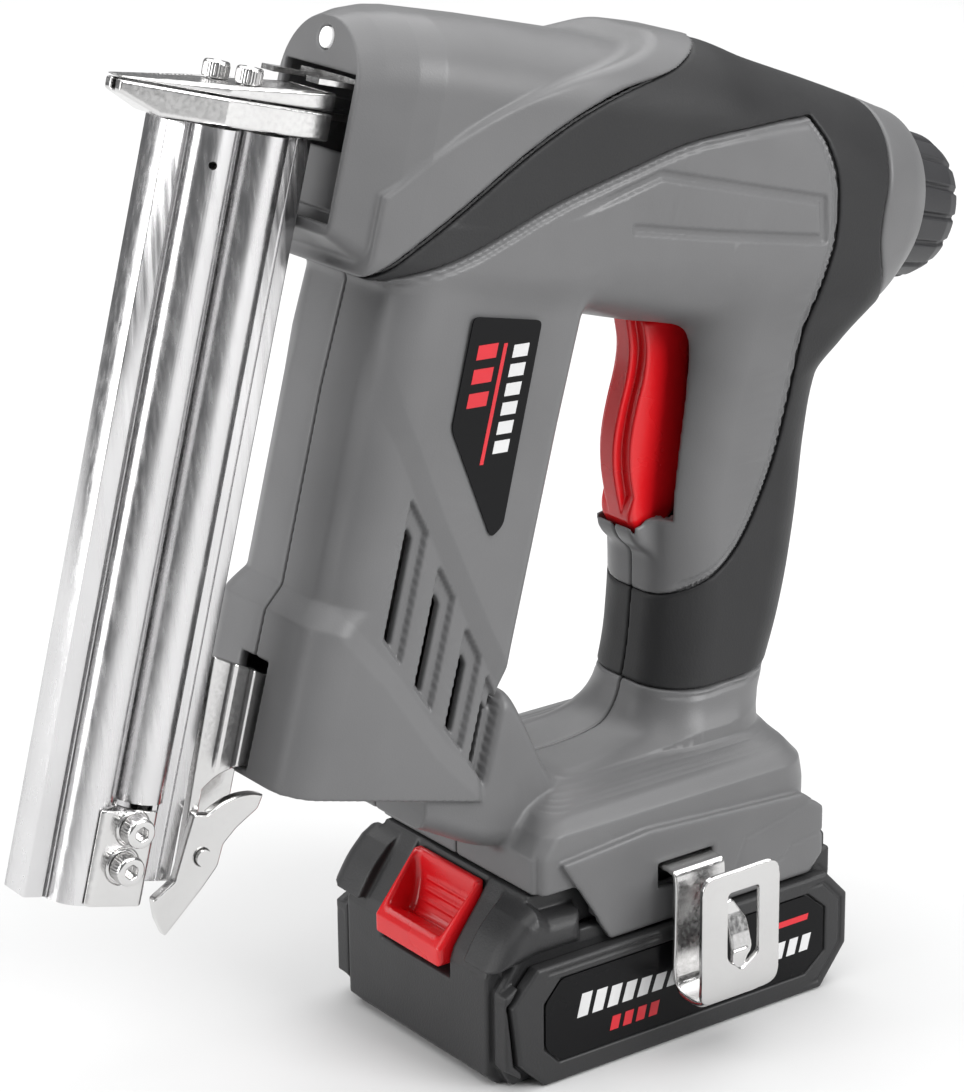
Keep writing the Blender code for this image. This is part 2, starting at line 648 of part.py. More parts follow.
def latch(steel):
    """The fixed bracket behind the magazine, and the lever that locks the magazine's sliding cover."""
    outline = [(50.6, -123.6), (67.2, -127.8), (68.4, -149.0), (63.0, -149.6), (58.0, -151.6)]
    outline += [(54.2, -155.0), (54.4, -162.0), (58.6, -166.4), (58.6, -174.0), (52.0, -174.0)]
    bracket = plate("magazine_bracket", outline, *BRACKET_Y, HEAD, steel)
    join(bracket, box("foot", (60, -4.5, -146), (67.2, 4.5, -130), HEAD))
    outline = [(54.9, -160.1), (58.0, -157.4), (62.0, -155.6), (66.0, -154.9), (69.6, -155.4)]
    outline += [(68.6, -159.0), (63.6, -163.4), (60.8, -167.2), (60.6, -172.6), (57.4, -178.0)]
    outline += [(51.9, -189.6), (45.4, -183.6), (49.6, -176.8), (51.2, -160.1)]
    lever = plate("latch_lever", outline, *LEVER_Y, HEAD, steel)
    for part in (bracket, lever):
        cut(part, rod("hole", (PIN_U, -20, PIN_V), (PIN_U, 20, PIN_V), 2.1, HEAD, None, 16))
    pin = rod("lever_pin", (PIN_U, -8.6, PIN_V), (PIN_U, -0.6, PIN_V), 1.95, HEAD, steel, 20)
    pivot(lever, HEAD, (PIN_U, 0, PIN_V))
    return bracket, lever, pin


# ---------------------------------------------------------------- trigger
TRIGGER_FRONT = [
    (8.1, 174.5), (9.2, 167), (8.5, 160.5), (6.3, 153), (4.8, 147), (4.1, 141.5), (4.3, 136), (5.3, 130),
]
TRIGGER_BACK = [
    (6.9, 123.8), (9.0, 120.4), (12.2, 118.8), (15.6, 119.8), (18.4, 124.5), (20.5, 140), (26.5, 174.5),
]


def trigger_unit(red, dark, steel):
    trigger = plate("trigger", TRIGGER_FRONT + TRIGGER_BACK, -6.2, 6.2, WORLD, red)
    for side in (-1, 1):
        lane = [(x + 2.4, z) for x, z in TRIGGER_FRONT]
        lane = [(x - 12, z) for x, z in reversed(TRIGGER_FRONT)] + lane
        y0, y1 = sorted((4.4 * side, 8.0 * side))
        outline = [(-10, 176), (-10, 123), (9.4, 123), *reversed(lane[8:]), (11.2, 176)]
        cut(trigger, plate("lane", outline, y0, y1))
    switch = box("trigger_switch", (34.0, -7.5, 132), (50.0, 7.5, 166), WORLD, dark, 0.8)
    spring = coil("trigger_spring", (25.2, 0, 150), (33.2, 0, 150), 2.4, 0.45, 4, WORLD, steel, 5, 8)
    return trigger, switch, spring


# ---------------------------------------------------------------- battery
PANEL = [
    (-51.4, 7.6), (-43.6, 0.0), (44.0, 0.0), (52.2, 10.4), (52.2, 24.6), (45.2, 31.6),
    (37.0, 36.0), (36.2, 31.2), (-45.4, 31.2), (-53.0, 23.0),
]
LABEL = [
    (-43.4, 10.0), (-39.0, 5.6), (38.0, 5.6), (44.4, 10.4),
    (44.4, 22.0), (38.6, 27.0), (-38.4, 27.0), (-43.4, 21.6),
]


def battery(shell, black, red, metal, copper):
    nose_line = [(-43.0, BATTERY_TOP), (-46.0, 42.4), (-50.4, 36.6), (-54.0, 31.6), (BATTERY_FRONT, 28.6)]
    outline = [(BATTERY_FRONT, 3.0), (BATTERY_FRONT + 3.0, 0), (50, 0), (51.4, 1.6), (51.4, 38)]
    outline += [(49, 41), (20, 41), (20, BATTERY_TOP), *nose_line]
    case = plate("battery_case", outline, -BATTERY_FACE_HALF, BATTERY_FACE_HALF, WORLD, shell)
    front = BATTERY_FRONT + 1.4
    sides = [(front, 6), (BATTERY_FRONT + 5, 0.4), (50, 0.4), (50, 36), (-46, 36), (front, 26)]
    join(case, plate("sides", sides, -BATTERY_HALF, BATTERY_HALF))
    strip = [(BATTERY_FRONT + 1.0, 6.4), (-49.6, 3.0), (-49.6, 28.0), (BATTERY_FRONT + 1.0, 25.6)]
    cheek = [(-56.8, 31.4), (-54.4, 31.0), (-44, 33), (-30, 33)]
    cheek += [(-30, 42.0), (-40, 42.4), (-43.6, 45.4), (-47.6, 43.2)]
    for side in (-1, 1):
        strip_y = sorted((30.5 * side, 36.2 * side))
        cheek_y = sorted((24.0 * side, 36.4 * side))
        join(case, plate("strip", strip, *strip_y), plate("cheek", cheek, *cheek_y))
        panel_room = [(x * 1.012, 15.8 + (z - 15.8) * 1.04) for x, z in PANEL]
        cut(case, plate("panel_room", panel_room, *sorted((BATTERY_HALF * side, 50.0 * side))))
    room = box("cell_room", (-48.6, -BATTERY_HALF + 3.2, 2.4), (47.6, BATTERY_HALF - 3.2, 36.0))
    cut(case, room, box("contact_way", (-20, -14, 30), (16, 14, 60)))
    cut(case, box("button_room", (-70, -14.2, 21.2), (-43.4, 14.2, 60)))
    left = plate("battery_side_left", PANEL, -BATTERY_SIDE, -BATTERY_HALF - GAP, WORLD, shell)
    recess = [(x * 1.012, 15.8 + (z - 15.8) * 1.03) for x, z in LABEL]
    cut(left, plate("recess", recess, -60, -BATTERY_SIDE + 1.0))
    panels = left, mirrored(left, "battery_side_right")
    label = plate("battery_label_left", LABEL, -BATTERY_SIDE + 0.3, -BATTERY_SIDE + 0.7, WORLD, black)
    labels = label, mirrored(label, "battery_label_right")
    side_view = [(-57.6, 26.4), (-57.6, 31.0), (-45.6, 45.6), (-43.7, 45.6), (-43.7, 26.4)]
    button = plate("battery_button", side_view, -13.8, 13.8, WORLD, red, 0.6)
    scoop = [(-70, 32.6), (-55.0, 32.6), (-48.0, 30.4), (-45.4, 38), (-45.4, 43.6), (-46.4, 60), (-70, 60)]
    cut(button, plate("scoop", scoop, -11.6, 11.6))
    cells = []
    for k in range(5):
        x = -38.1 + 18.8 * k
        ends = (x, -CELL_LENGTH / 2 + 3.4, 12.2), (x, CELL_LENGTH / 2 - 3.4, 12.2)
        cells.append(rod(f"cell_{k + 1}", *ends, CELL_RADIUS, WORLD, metal, 20))
    contacts = box("pack_contacts", (-18, -12, 34), (14, 12, 38.6), WORLD, copper)
    return case, panels, labels, button, cells, contacts


# ---------------------------------------------------------------- small pieces
def belt_hook(steel):
    """A bent steel strip: a leg against the base, a turn at the bottom and an outer tongue."""
    path = [(-34.6, 46.5), (-38.8, 46.5), (-40.4, 44.6), (-40.4, 16.6), (-42.4, 13.2)]
    path += [(-47.6, 12.2), (-52.4, 14.2), (-54.0, 18.0), (-54.0, 50.0)]
    bm = bmesh.new()
    thickness = 1.4
    outer, inner = [], []
    for i, point in enumerate(path):
        before = Vector(path[max(i - 1, 0)])
        after = Vector(path[min(i + 1, len(path) - 1)])
        run = (after - before).normalized()
        side = Vector((-run.y, run.x)) * thickness / 2
        outer.append(Vector(point) + side)
        inner.append(Vector(point) - side)
    outline = outer + inner[::-1]
    face = bm.faces.new([bm.verts.new((-6.8, y, z)) for y, z in outline])
    swept = bmesh.ops.extrude_face_region(bm, geom=[face])["geom"]
    verts = [g for g in swept if isinstance(g, bmesh.types.BMVert)]
    bmesh.ops.translate(bm, verts=verts, vec=(15.6, 0, 0))
    hook = finish("belt_hook", bm, steel)
    tongue = plate(
        "tongue", [(-9.6, 17.6), (14.4, 17.6), (14.4, 47.0), (11.4, 50.6), (-5.0, 50.6), (-9.6, 46.0)],
        -54.7, -53.3,
    )
    join(hook, tongue)
    outline = [(-1.6, 27), (2.0, 23.6), (8.2, 26.6), (8.2, 42), (4, 45.6), (-1.6, 45.6)]
    return cut(hook, plate("window", outline, -60, -50))


def badge(black):
    outline = [(88.6, -37.4), (108.0, -36.4), (108.8, -84.6), (106.0, -87.8), (88.6, -63.4)]
    left = plate("badge_left", outline, -COLUMN_HALF - 0.55, -COLUMN_HALF - 0.2, HEAD, black)
    return left, mirrored(left, "badge_right")


def housing_screws(steel):
    """Screws that pull the halves together, sunk in the right-hand side."""
    made = []
    for k, (u, v) in enumerate(SCREW_PLACES, 1):
        seat = (u, SCREW_SEAT, v)
        made.append(socket_screw(f"housing_screw_{k}", seat, (0, 1, 0), steel, HEAD, 2.8, 2.4, 1.4, 26.0))
    return made


def main():
    for old in list(bpy.data.objects):
        bpy.data.objects.remove(old, do_unlink=True)
    grey = material("grey_plastic", (0.27, 0.27, 0.28), 0.45)
    charcoal = material("soft_grip", (0.055, 0.055, 0.058), 0.7)
    shell = material("battery_plastic", (0.09, 0.09, 0.095), 0.5)
    black = material("black_film", (0.01, 0.01, 0.01), 0.35)
    red = material("red_plastic", (0.75, 0.02, 0.02), 0.35)
    steel = material("bright_steel", (0.72, 0.72, 0.74), 0.22, 1.0)
    aluminium = material("aluminium", (0.80, 0.80, 0.82), 0.3, 1.0)
    dark = material("dark_nylon", (0.03, 0.03, 0.035), 0.5)
    rubber = material("rubber", (0.03, 0.03, 0.03), 0.8)
    copper = material("copper", (0.75, 0.38, 0.18), 0.35, 1.0)
    board = material("board_green", (0.02, 0.15, 0.06), 0.5)
    lens = material("clear_lens", (0.95, 0.95, 0.95), 0.1)

    housing_halves(grey)
    grips(charcoal)
    front_cover(grey)
    rear_cap(grey)
    adjuster_knob(dark)
    engine(steel, dark, rubber)
    motor_unit(steel, dark, copper)
    nose(steel)
    magazine(steel, aluminium, dark)
    latch(steel)
    trigger_unit(red, dark, steel)
    battery(shell, black, red, steel, copper)
    belt_hook(steel)
    badge(black)
    housing_screws(steel)
    rod("work_light_lens", (FACE_U - 0.6, 0, 17.0), (FACE_U + 6, 0, 17.0), 2.4, HEAD, lens, 20)
    box("controller_board", (-8, -17, 57.6), (36, 17, 59.4), WORLD, board)
    box("terminal_block", (-17, -12.6, 48.0), (13, 12.6, 55.0), WORLD, dark, 0.5)


main()
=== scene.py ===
import functools
import json
import math

import bmesh
import bpy
import numpy as np
import openvdb as vdb
from mathutils import Matrix, Vector

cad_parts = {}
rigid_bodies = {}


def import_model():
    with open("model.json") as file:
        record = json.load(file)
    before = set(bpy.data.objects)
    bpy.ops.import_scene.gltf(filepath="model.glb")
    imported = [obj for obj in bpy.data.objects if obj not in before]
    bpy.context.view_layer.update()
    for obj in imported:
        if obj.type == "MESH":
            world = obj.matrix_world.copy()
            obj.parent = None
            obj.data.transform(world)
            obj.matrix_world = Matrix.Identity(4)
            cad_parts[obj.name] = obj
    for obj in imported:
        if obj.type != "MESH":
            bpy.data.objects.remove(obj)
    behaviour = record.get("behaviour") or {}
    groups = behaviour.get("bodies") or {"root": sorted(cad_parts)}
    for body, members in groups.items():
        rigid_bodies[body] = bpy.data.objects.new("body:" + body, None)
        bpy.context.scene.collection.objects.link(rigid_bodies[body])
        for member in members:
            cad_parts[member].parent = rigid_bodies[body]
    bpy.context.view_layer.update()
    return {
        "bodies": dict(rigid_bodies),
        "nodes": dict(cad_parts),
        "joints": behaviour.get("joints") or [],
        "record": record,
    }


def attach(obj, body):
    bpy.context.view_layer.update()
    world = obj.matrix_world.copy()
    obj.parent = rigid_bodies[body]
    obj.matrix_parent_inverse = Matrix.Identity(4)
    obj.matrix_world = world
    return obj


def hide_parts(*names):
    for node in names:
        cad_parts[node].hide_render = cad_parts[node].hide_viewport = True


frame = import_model()

# The looks of a cordless brad nailer. Its moulded and machined pieces are modelled as distance fields on a
# grid, in millimetres, so that seams, fillets and broken edges are real shape, and then turned into meshes.
# A field is negative inside. World points are (x, y, z); points of the pitched head are (u, y, v), with u
# along the barrel to the rear.

MM = 0.001
COARSE = 1.0
NOSE_X, NOSE_Z, PITCH = -128.4, 249.0, math.radians(15)
COS, SIN = math.cos(PITCH), math.sin(PITCH)
HEAD = Matrix.Translation((NOSE_X, 0, NOSE_Z)) @ Matrix.Rotation(PITCH, 4, "Y")
WORLD = Matrix.Identity(4)

WALL = 2.6
GRIP_SKIN = 1.3
GAP = 0.3
FACE_U, REAR_U, KNOB_END_U = 51.5, 221.5, 241.5
COLUMN_HALF = 24.0
BATTERY_FRONT, BATTERY_SIDE = -55.2, 37.5
RIBS = (24.0, 36.7)
LENS_V = 17.0
NOSE_SCREWS = ((27.9, 4.6), (31.0, -3.9))
MAGAZINE_TOP, MAGAZINE_BOTTOM, MAGAZINE_HALF = -5.5, -180.5, 4.5
CLAMP_SCREWS = ((32.3, MAGAZINE_BOTTOM + 18.6), (31.4, MAGAZINE_BOTTOM + 9.8))
INK_DEPTH = 0.06
MOST_SHIFT = 0.4


# ---------------------------------------------------------------- fields
class Space:
    """A grid of points over a box, in the world frame or the head frame, with both frames' coordinates."""

    def __init__(self, low, high, step, frame=WORLD):
        self.step = step * COARSE
        self.frame = frame
        axes = [np.arange(a - 2 * self.step, b + 2.5 * self.step, self.step) for a, b in zip(low, high)]
        self.low = np.array([axis[0] for axis in axes])
        p, q, r = [axis.astype(np.float32) for axis in axes]
        p, q, r = p[:, None, None], q[None, :, None], r[None, None, :]
        self.y = q
        self.side = np.abs(q)
        if frame is HEAD:
            self.u, self.v = p, r
            self.x = NOSE_X + COS * p + SIN * r
            self.z = NOSE_Z - SIN * p + COS * r
        else:
            self.x, self.z = p, r
            self.u = COS * (p - NOSE_X) - SIN * (r - NOSE_Z)
            self.v = SIN * (p - NOSE_X) + COS * (r - NOSE_Z)


def monotone(knots, values, at):
    """A smooth curve through the values that never swings past them."""
    steps = np.diff(knots)
    rises = np.diff(values) / steps
    slopes = np.zeros(len(knots))
    slopes[0], slopes[-1] = rises[0], rises[-1]
    same = rises[:-1] * rises[1:] > 0
    slopes[1:-1][same] = 2 * rises[:-1][same] * rises[1:][same] / (rises[:-1] + rises[1:])[same]
    k = np.clip(np.searchsorted(knots, at) - 1, 0, len(steps) - 1)
    t = (at - knots[k]) / steps[k]
    start, end = values[k], values[k + 1]
    bend = slopes[k] * steps[k], slopes[k + 1] * steps[k]
    flat = (1 + 2 * t) * (1 - t) ** 2 * start + t * t * (3 - 2 * t) * end
    return flat + t * (1 - t) ** 2 * bend[0] - t * t * (1 - t) * bend[1]


def lofted(table, place, depth, side, smooth=True):
    """A solid through rounded sections, each (place, low, high, half width, corner radius low, and high)."""
    table = np.array(table, float)
    fine = np.linspace(table[0, 0], table[-1, 0], 600)
    columns = []
    for column in table.T[1:]:
        through = monotone(table[:, 0], column, fine) if smooth else np.interp(fine, table[:, 0], column)
        columns.append(np.interp(place, fine, through).astype(np.float32))
    low, high, half, r_low, r_high = columns
    offset = depth - (low + high) / 2
    radius = np.where(offset > 0, r_high, r_low)
    across = np.abs(offset) - (high - low) / 2 + radius
    along = side - half + radius
    field = np.minimum(np.maximum(across, along), 0)
    field = field + np.hypot(np.maximum(across, 0), np.maximum(along, 0)) - radius
    return np.maximum(field, np.maximum(table[0, 0] - place, place - table[-1, 0]))


def melt(a, b, reach):
    """Both shapes together, with a fillet where they meet."""
    overlap = np.maximum(reach - np.abs(a - b), 0) / reach
    return np.minimum(a, b) - overlap * overlap * (reach / 4)


def meet(a, b, reach=0.8):
    """What two shapes share, with a broken edge."""
    return -melt(-a, -b, reach)


def carve(a, b, reach=0.8):
    """The first shape without the second, with a broken edge."""
    return -melt(-a, b, reach)


def block(space, low, high, frame=WORLD):
    """A box between two corners, which are given in the frame's own order."""
    p, r = (space.u, space.v) if frame is HEAD else (space.x, space.z)
    sides = [np.maximum(a - value, value - b) for value, a, b in zip((p, space.y, r), low, high)]
    return np.maximum(np.maximum(sides[0], sides[1]), sides[2])


def bar(p, q, centre, radius):
    """An endless round bar, seen end on."""
    return np.hypot(p - centre[0], q - centre[1]) - radius


def line(points, p, q):
    """Distance in a plane to an open line of points."""
    p, q = np.broadcast_arrays(p, q)
    nearest = np.full(p.shape, 1e9, np.float32)
    for (ax, ay), (bx, by) in zip(points, points[1:]):
        ex, ey = bx - ax, by - ay
        t = np.clip(((p - ax) * ex + (q - ay) * ey) / (ex * ex + ey * ey), 0, 1)
        nearest = np.minimum(nearest, (p - ax - t * ex) ** 2 + (q - ay - t * ey) ** 2)
    return np.sqrt(nearest)


def stencil(outline, p, q):
    """Signed distance in a plane to a closed outline, negative inside."""
    p, q = np.broadcast_arrays(p, q)
    ring = [*outline, outline[0]]
    inside = np.zeros(p.shape, bool)
    for (ax, ay), (bx, by) in zip(ring, ring[1:]):
        if ay != by:
            inside ^= ((ay > q) != (by > q)) & (p < (bx - ax) * (q - ay) / (by - ay) + ax)
    nearest = line(ring, p, q)
    return np.where(inside, -nearest, nearest)


def ramp(values, start, end):
    """0 at start and 1 at end, easing in and out."""
    t = np.clip((values - start) / (end - start), 0, 1)
    return t * t * (3 - 2 * t)


def curve(points, steps=6):
    """A smooth line through the points."""
    points = [Vector(point) for point in points]
    ends = [2 * points[0] - points[1], *points, 2 * points[-1] - points[-2]]
    made = []
    for before, a, b, after in zip(ends, ends[1:], ends[2:], ends[3:]):
        for k in range(steps):
            t = k / steps
            made.append(
                0.5 * (2 * a + (b - before) * t + (2 * before - 5 * a + 4 * b - after) * t ** 2
                       + (3 * a - before - 3 * b + after) * t ** 3)
            )
    return [tuple(point) for point in [*made, points[-1]]]


def rounded(outline, radius, steps=5):
    """A closed outline with its corners rounded off."""
    made = []
    count = len(outline)
    for i, corner in enumerate(outline):
        corner = Vector(corner)
        before, after = Vector(outline[i - 1]) - corner, Vector(outline[(i + 1) % count]) - corner
        reach = min(radius, 0.45 * before.length, 0.45 * after.length)
        a, b = corner + before.normalized() * reach, corner + after.normalized() * reach
        for k in range(steps + 1):
            t = k / steps
            made.append(tuple(a * (1 - t) ** 2 + corner * (2 * t * (1 - t)) + b * t * t))
    return made


# ---------------------------------------------------------------- meshes
def sampled(field, at):
    """The field's values at points given in grid steps."""
    top = np.array(field.shape) - 2
    base = np.clip(np.floor(at).astype(int), 0, top)
    part = at - base
    total = np.zeros(len(at))
    for corner in np.ndindex(2, 2, 2):
        share = np.prod(np.where(corner, part, 1 - part), axis=1)
        total += share * field[tuple((base + corner).T)]
    return total


def gradient(field, at):
    """The direction in which the field rises, at points given in grid steps."""
    parts = []
    for axis in np.eye(3):
        parts.append(sampled(field, at + 0.6 * axis) - sampled(field, at - 0.6 * axis))
    slope = np.stack(parts, axis=1)
    return slope / np.maximum(np.linalg.norm(slope, axis=1, keepdims=True), 1e-9)


def mesh_of(name, points, faces):
    """A smooth mesh from arrays of points and of faces with equally many corners."""
    mesh = bpy.data.meshes.new(name)
    mesh.vertices.add(len(points))
    mesh.vertices.foreach_set("co", points.astype(np.float32).ravel())
    mesh.loops.add(faces.size)
    mesh.loops.foreach_set("vertex_index", faces.astype(np.int32).ravel())
    mesh.polygons.add(len(faces))
    mesh.polygons.foreach_set("loop_start", np.arange(0, faces.size, faces.shape[1], dtype=np.int32))
    mesh.update(calc_edges=True)
    mesh.validate()
    mesh.shade_smooth()
    return mesh


def show(name, mesh, look, body, nodes):
    """The finished piece: it rides on its body and stands for its CAD nodes."""
    made = bpy.data.objects.new(name, mesh)
    bpy.context.scene.collection.objects.link(made)
    mesh.materials.append(look)
    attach(made, body)
    if nodes:
        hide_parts(*nodes)
    return made


def applied(mesh, kind, **settings):
    """The mesh after one modifier."""
    carrier = bpy.data.objects.new("carrier", mesh)
    bpy.context.scene.collection.objects.link(carrier)
    modifier = carrier.modifiers.new(kind, kind)
    for key, value in settings.items():
        setattr(modifier, key, value)
    graph = bpy.context.evaluated_depsgraph_get()
    made = bpy.data.meshes.new_from_object(carrier.evaluated_get(graph))
    bpy.data.objects.remove(carrier)
    return made


def solid(name, field, space, look, body, nodes, mirror=False, keep=0.3):
    """A piece from its field: meshed, thinned where it is flat, and shaded by the field's own slope."""
    shape = np.broadcast_shapes(field.shape, space.y.shape)
    field = np.array(np.broadcast_to(field, shape), np.float32, order="C")
    for axis in range(3):
        edge = np.moveaxis(field, axis, 0)
        edge[0] = np.maximum(edge[0], space.step)
        edge[-1] = np.maximum(edge[-1], space.step)
    grid = vdb.FloatGrid()
    grid.copyFromArray(field)
    places, quads = grid.convertToQuads(isovalue=0.0)
    places = places.astype(float)
    near = np.clip(sampled(field, places) / space.step, -MOST_SHIFT, MOST_SHIFT)
    places -= near[:, None] * gradient(field, places)
    flip = np.array([1, -1 if mirror else 1, 1])
    points = (places * space.step + space.low) * flip
    corners = points[quads]
    volume = np.einsum("ij,ij->i", corners[:, 0], np.cross(corners[:, 1], corners[:, 2])).sum()
    if volume < 0:
        quads = quads[:, ::-1]
    mesh = applied(mesh_of(name, points, quads), "DECIMATE", ratio=keep, use_collapse_triangulate=True)
    count = len(mesh.vertices)
    points = np.empty(count * 3, np.float32)
    mesh.vertices.foreach_get("co", points)
    points = points.reshape(-1, 3).astype(float)
    normals = gradient(field, (points * flip - space.low) / space.step) * flip
    matrix = np.array(space.frame)
    points = (points @ matrix[:3, :3].T + matrix[:3, 3]) * MM
    mesh.vertices.foreach_set("co", points.astype(np.float32).ravel())
    mesh.update()
    mesh.shade_smooth()
    mesh.normals_split_custom_set_from_vertices((normals @ matrix[:3, :3].T).tolist())
    return show(name, mesh, look, body, nodes)


def film(name, outline, level, depth, look, body, nodes, frame=WORLD, mirror=False):
    """A thin flat piece on a side of the tool, level mm from the middle plane, from a side-view outline."""
    side = 1 if mirror else -1
    count = len(outline)
    points = [frame @ Vector((p, side * (level + d), r)) * MM for d in (0, depth) for p, r in outline]
    faces = [tuple(range(count)), tuple(range(2 * count - 1, count - 1, -1))]
    faces += [(i, count + i, count + (i + 1) % count, (i + 1) % count) for i in range(count)]
    mesh = bpy.data.meshes.new(name)
    mesh.from_pydata([tuple(point) for point in points], [], faces)
    total = sum(face.center.dot(face.normal) * face.area for face in mesh.polygons)
    if total < 0:
        mesh.flip_normals()
    mesh.update()
    return show(name, mesh, look, body, nodes)


# ---------------------------------------------------------------- materials
def nodes_of(name):
    """A new material, its node tree and its Principled BSDF."""
    made = bpy.data.materials.new(name)
    made.use_nodes = True
    tree = made.node_tree
    return made, tree, tree.nodes["Principled BSDF"]


def feed(tree, node, inputs):
    """Sets the node's inputs, each from a value or from another node's output."""
    for key, value in inputs.items():
        if isinstance(value, bpy.types.NodeSocket):
            tree.links.new(value, node.inputs[key])
        else:
            node.inputs[key].default_value = value


def node_of(tree, kind, inputs, **settings):
    """The outputs of a new node with these settings and inputs."""
    node = tree.nodes.new("ShaderNode" + kind)
    for key, value in settings.items():
        setattr(node, key, value)
    feed(tree, node, inputs)
    return node.outputs


def placed(tree, stretch=(1, 1, 1), turn=0.0):
    """The piece's own coordinates, stretched and then turned about Y."""
    place = node_of(tree, "TexCoord", {})["Object"]
    return node_of(tree, "Mapping", {"Vector": place, "Scale": stretch, "Rotation": (0, turn, 0)})["Vector"]


def grain(tree, scale, detail=2.0, stretch=(1, 1, 1), turn=0.0):
    """Noise in the piece's own coordinates; the scale is in features per metre."""
    inputs = {"Vector": placed(tree, stretch, turn), "Scale": scale, "Detail": detail}
    return node_of(tree, "TexNoise", inputs)["Fac"]


def graded(tree, value, low, high, start=0.35, end=0.65):
    """Maps a texture's value to a range of another value."""
    inputs = {"Value": value, "From Min": start, "From Max": end, "To Min": low, "To Max": high}
    return node_of(tree, "MapRange", inputs)["Result"]


def tinted(tree, factor, first, second):
    """From the first colour to the second, as the factor rises; a colour can be another node's output."""
    first, second = [(*colour, 1.0) if isinstance(colour, tuple) else colour for colour in (first, second)]
    return node_of(tree, "Mix", {"Factor": factor, 6: first, 7: second}, data_type="RGBA")[2]


def highlighted_edges(tree, radius, share):
    """A mask of the sharp edges, broken up by noise, where a paler colour is painted on as a highlight."""
    bent = node_of(tree, "Bevel", {"Radius": radius}, samples=4)["Normal"]
    normal = node_of(tree, "NewGeometry", {})["Normal"]
    likeness = node_of(tree, "VectorMath", {0: bent, 1: normal}, operation="DOT_PRODUCT")["Value"]
    edge = graded(tree, likeness, 1.0, 0.0, 0.86, 0.985)
    patches = graded(tree, grain(tree, 160.0, 4.0), 0.0, share, 0.4, 0.62)
    return node_of(tree, "Math", {0: edge, 1: patches}, operation="MULTIPLY")["Value"]


def bumped(tree, height, strength, distance):
    """The normal of a surface that the height raises and sinks."""
    return node_of(tree, "Bump", {"Strength": strength, "Distance": distance, "Height": height})["Normal"]


def lighter(colour, factor):
    return tuple(min(1.0, part * factor) for part in colour)


def plastic(name, colour, roughness=0.4, texture=2600.0, depth=0.25, edge_highlight=0.5, specular=0.5):
    """Moulded plastic: fine spark-eroded grain, faint cloudy tone, and paler edges as a painted highlight."""
    made, tree, shader = nodes_of(name)
    cloud = graded(tree, grain(tree, 28.0, 3.0), 0.0, 1.0)
    tone = tinted(tree, cloud, lighter(colour, 0.94), lighter(colour, 1.06))
    feed(tree, shader, {
        # Painted highlight: the colour along the sharp edges is made paler, where light would catch them.
        "Base Color": tinted(tree, highlighted_edges(tree, 0.0006, edge_highlight), tone, lighter(colour, 1.5)),
        "Roughness": graded(tree, grain(tree, 60.0, 3.0), roughness - 0.04, roughness + 0.05),
        "Specular IOR Level": specular,
        "Normal": bumped(tree, grain(tree, texture, 2.0), depth, 0.00012),
    })
    return made


def metal(name, colour, roughness=0.2, brush=(1, 1, 1), turn=0.0, depth=0.15, scale=900.0):
    """Bright metal with a fine brushed or ground surface, and paler edges as a painted highlight."""
    made, tree, shader = nodes_of(name)
    lines = grain(tree, scale, 3.0, brush, turn)
    cloud = graded(tree, grain(tree, 35.0, 3.0), 0.0, 1.0)
    tone = tinted(tree, cloud, lighter(colour, 0.93), colour)
    feed(tree, shader, {
        "Metallic": 1.0,
        # Painted highlight: the colour along the sharp edges is made paler, where light would catch them.
        "Base Color": tinted(tree, highlighted_edges(tree, 0.0004, 0.6), tone, lighter(colour, 1.12)),
        "Roughness": graded(tree, lines, roughness - 0.05, roughness + 0.07),
        "Normal": bumped(tree, lines, depth, 0.00004),
    })
    return made


def strip_metal(name, colour, pitch):
    """A glued strip of brads: one fine groove between every two wires, each groove darkened by painted shade.
    """
    made, tree, shader = nodes_of(name)
    inputs = {"Vector": placed(tree, turn=-PITCH), "Scale": math.pi / (10 * pitch)}
    wave = node_of(tree, "TexWave", inputs, bands_direction="Z")["Fac"]
    feed(tree, shader, {
        "Metallic": 1.0,
        "Roughness": 0.35,
        # Painted shade: the colour in each groove drops to under half, as shade in the crease would.
        "Base Color": tinted(tree, wave, lighter(colour, 0.45), colour),
        "Normal": bumped(tree, wave, 0.8, 0.0003),
    })
    return made


def clear_lens(name):
    """A clear moulding with a faint haze, and a faint painted glow of its own."""
    made, tree, shader = nodes_of(name)
    haze = graded(tree, grain(tree, 700.0, 2.0), 0.0, 1.0)
    feed(tree, shader, {
        "IOR": 1.45,
        "Base Color": tinted(tree, haze, (0.86, 0.87, 0.88), (0.97, 0.97, 0.96)),
        "Roughness": graded(tree, haze, 0.05, 0.12),
        "Coat Weight": 0.6,
        # Painted glow: the lens itself gives out a little white light.
        "Emission Color": (1, 1, 1, 1),
        "Emission Strength": 0.35,
    })
    return made


GREY = plastic("housing_grey", (0.125, 0.125, 0.127), 0.4, edge_highlight=0.5, specular=0.4)
OVERMOLD = plastic("overmold_rubber", (0.016, 0.016, 0.0168), 0.52, 1800.0, 0.4, 0.12, 0.35)
BATTERY = plastic("battery_grey", (0.024, 0.024, 0.0248), 0.42, 1700.0, 0.45, 0.25, 0.35)
RED = plastic("red_gloss", (0.6, 0.006, 0.01), 0.26, 900.0, 0.08, edge_highlight=0.2)
BLACK = plastic("black_gloss_film", (0.004, 0.004, 0.0045), 0.25, 700.0, 0.05, 0.1, 0.15)
NYLON = plastic("dark_nylon_grain", (0.022, 0.022, 0.024), 0.45, 2200.0, 0.4, edge_highlight=0.25)
RUBBER = plastic("black_rubber", (0.012, 0.012, 0.013), 0.7, 1500.0, 0.5, edge_highlight=0.1)
BOARD = plastic("board_lacquer", (0.01, 0.1, 0.035), 0.35, 1200.0, 0.3, edge_highlight=0.2)
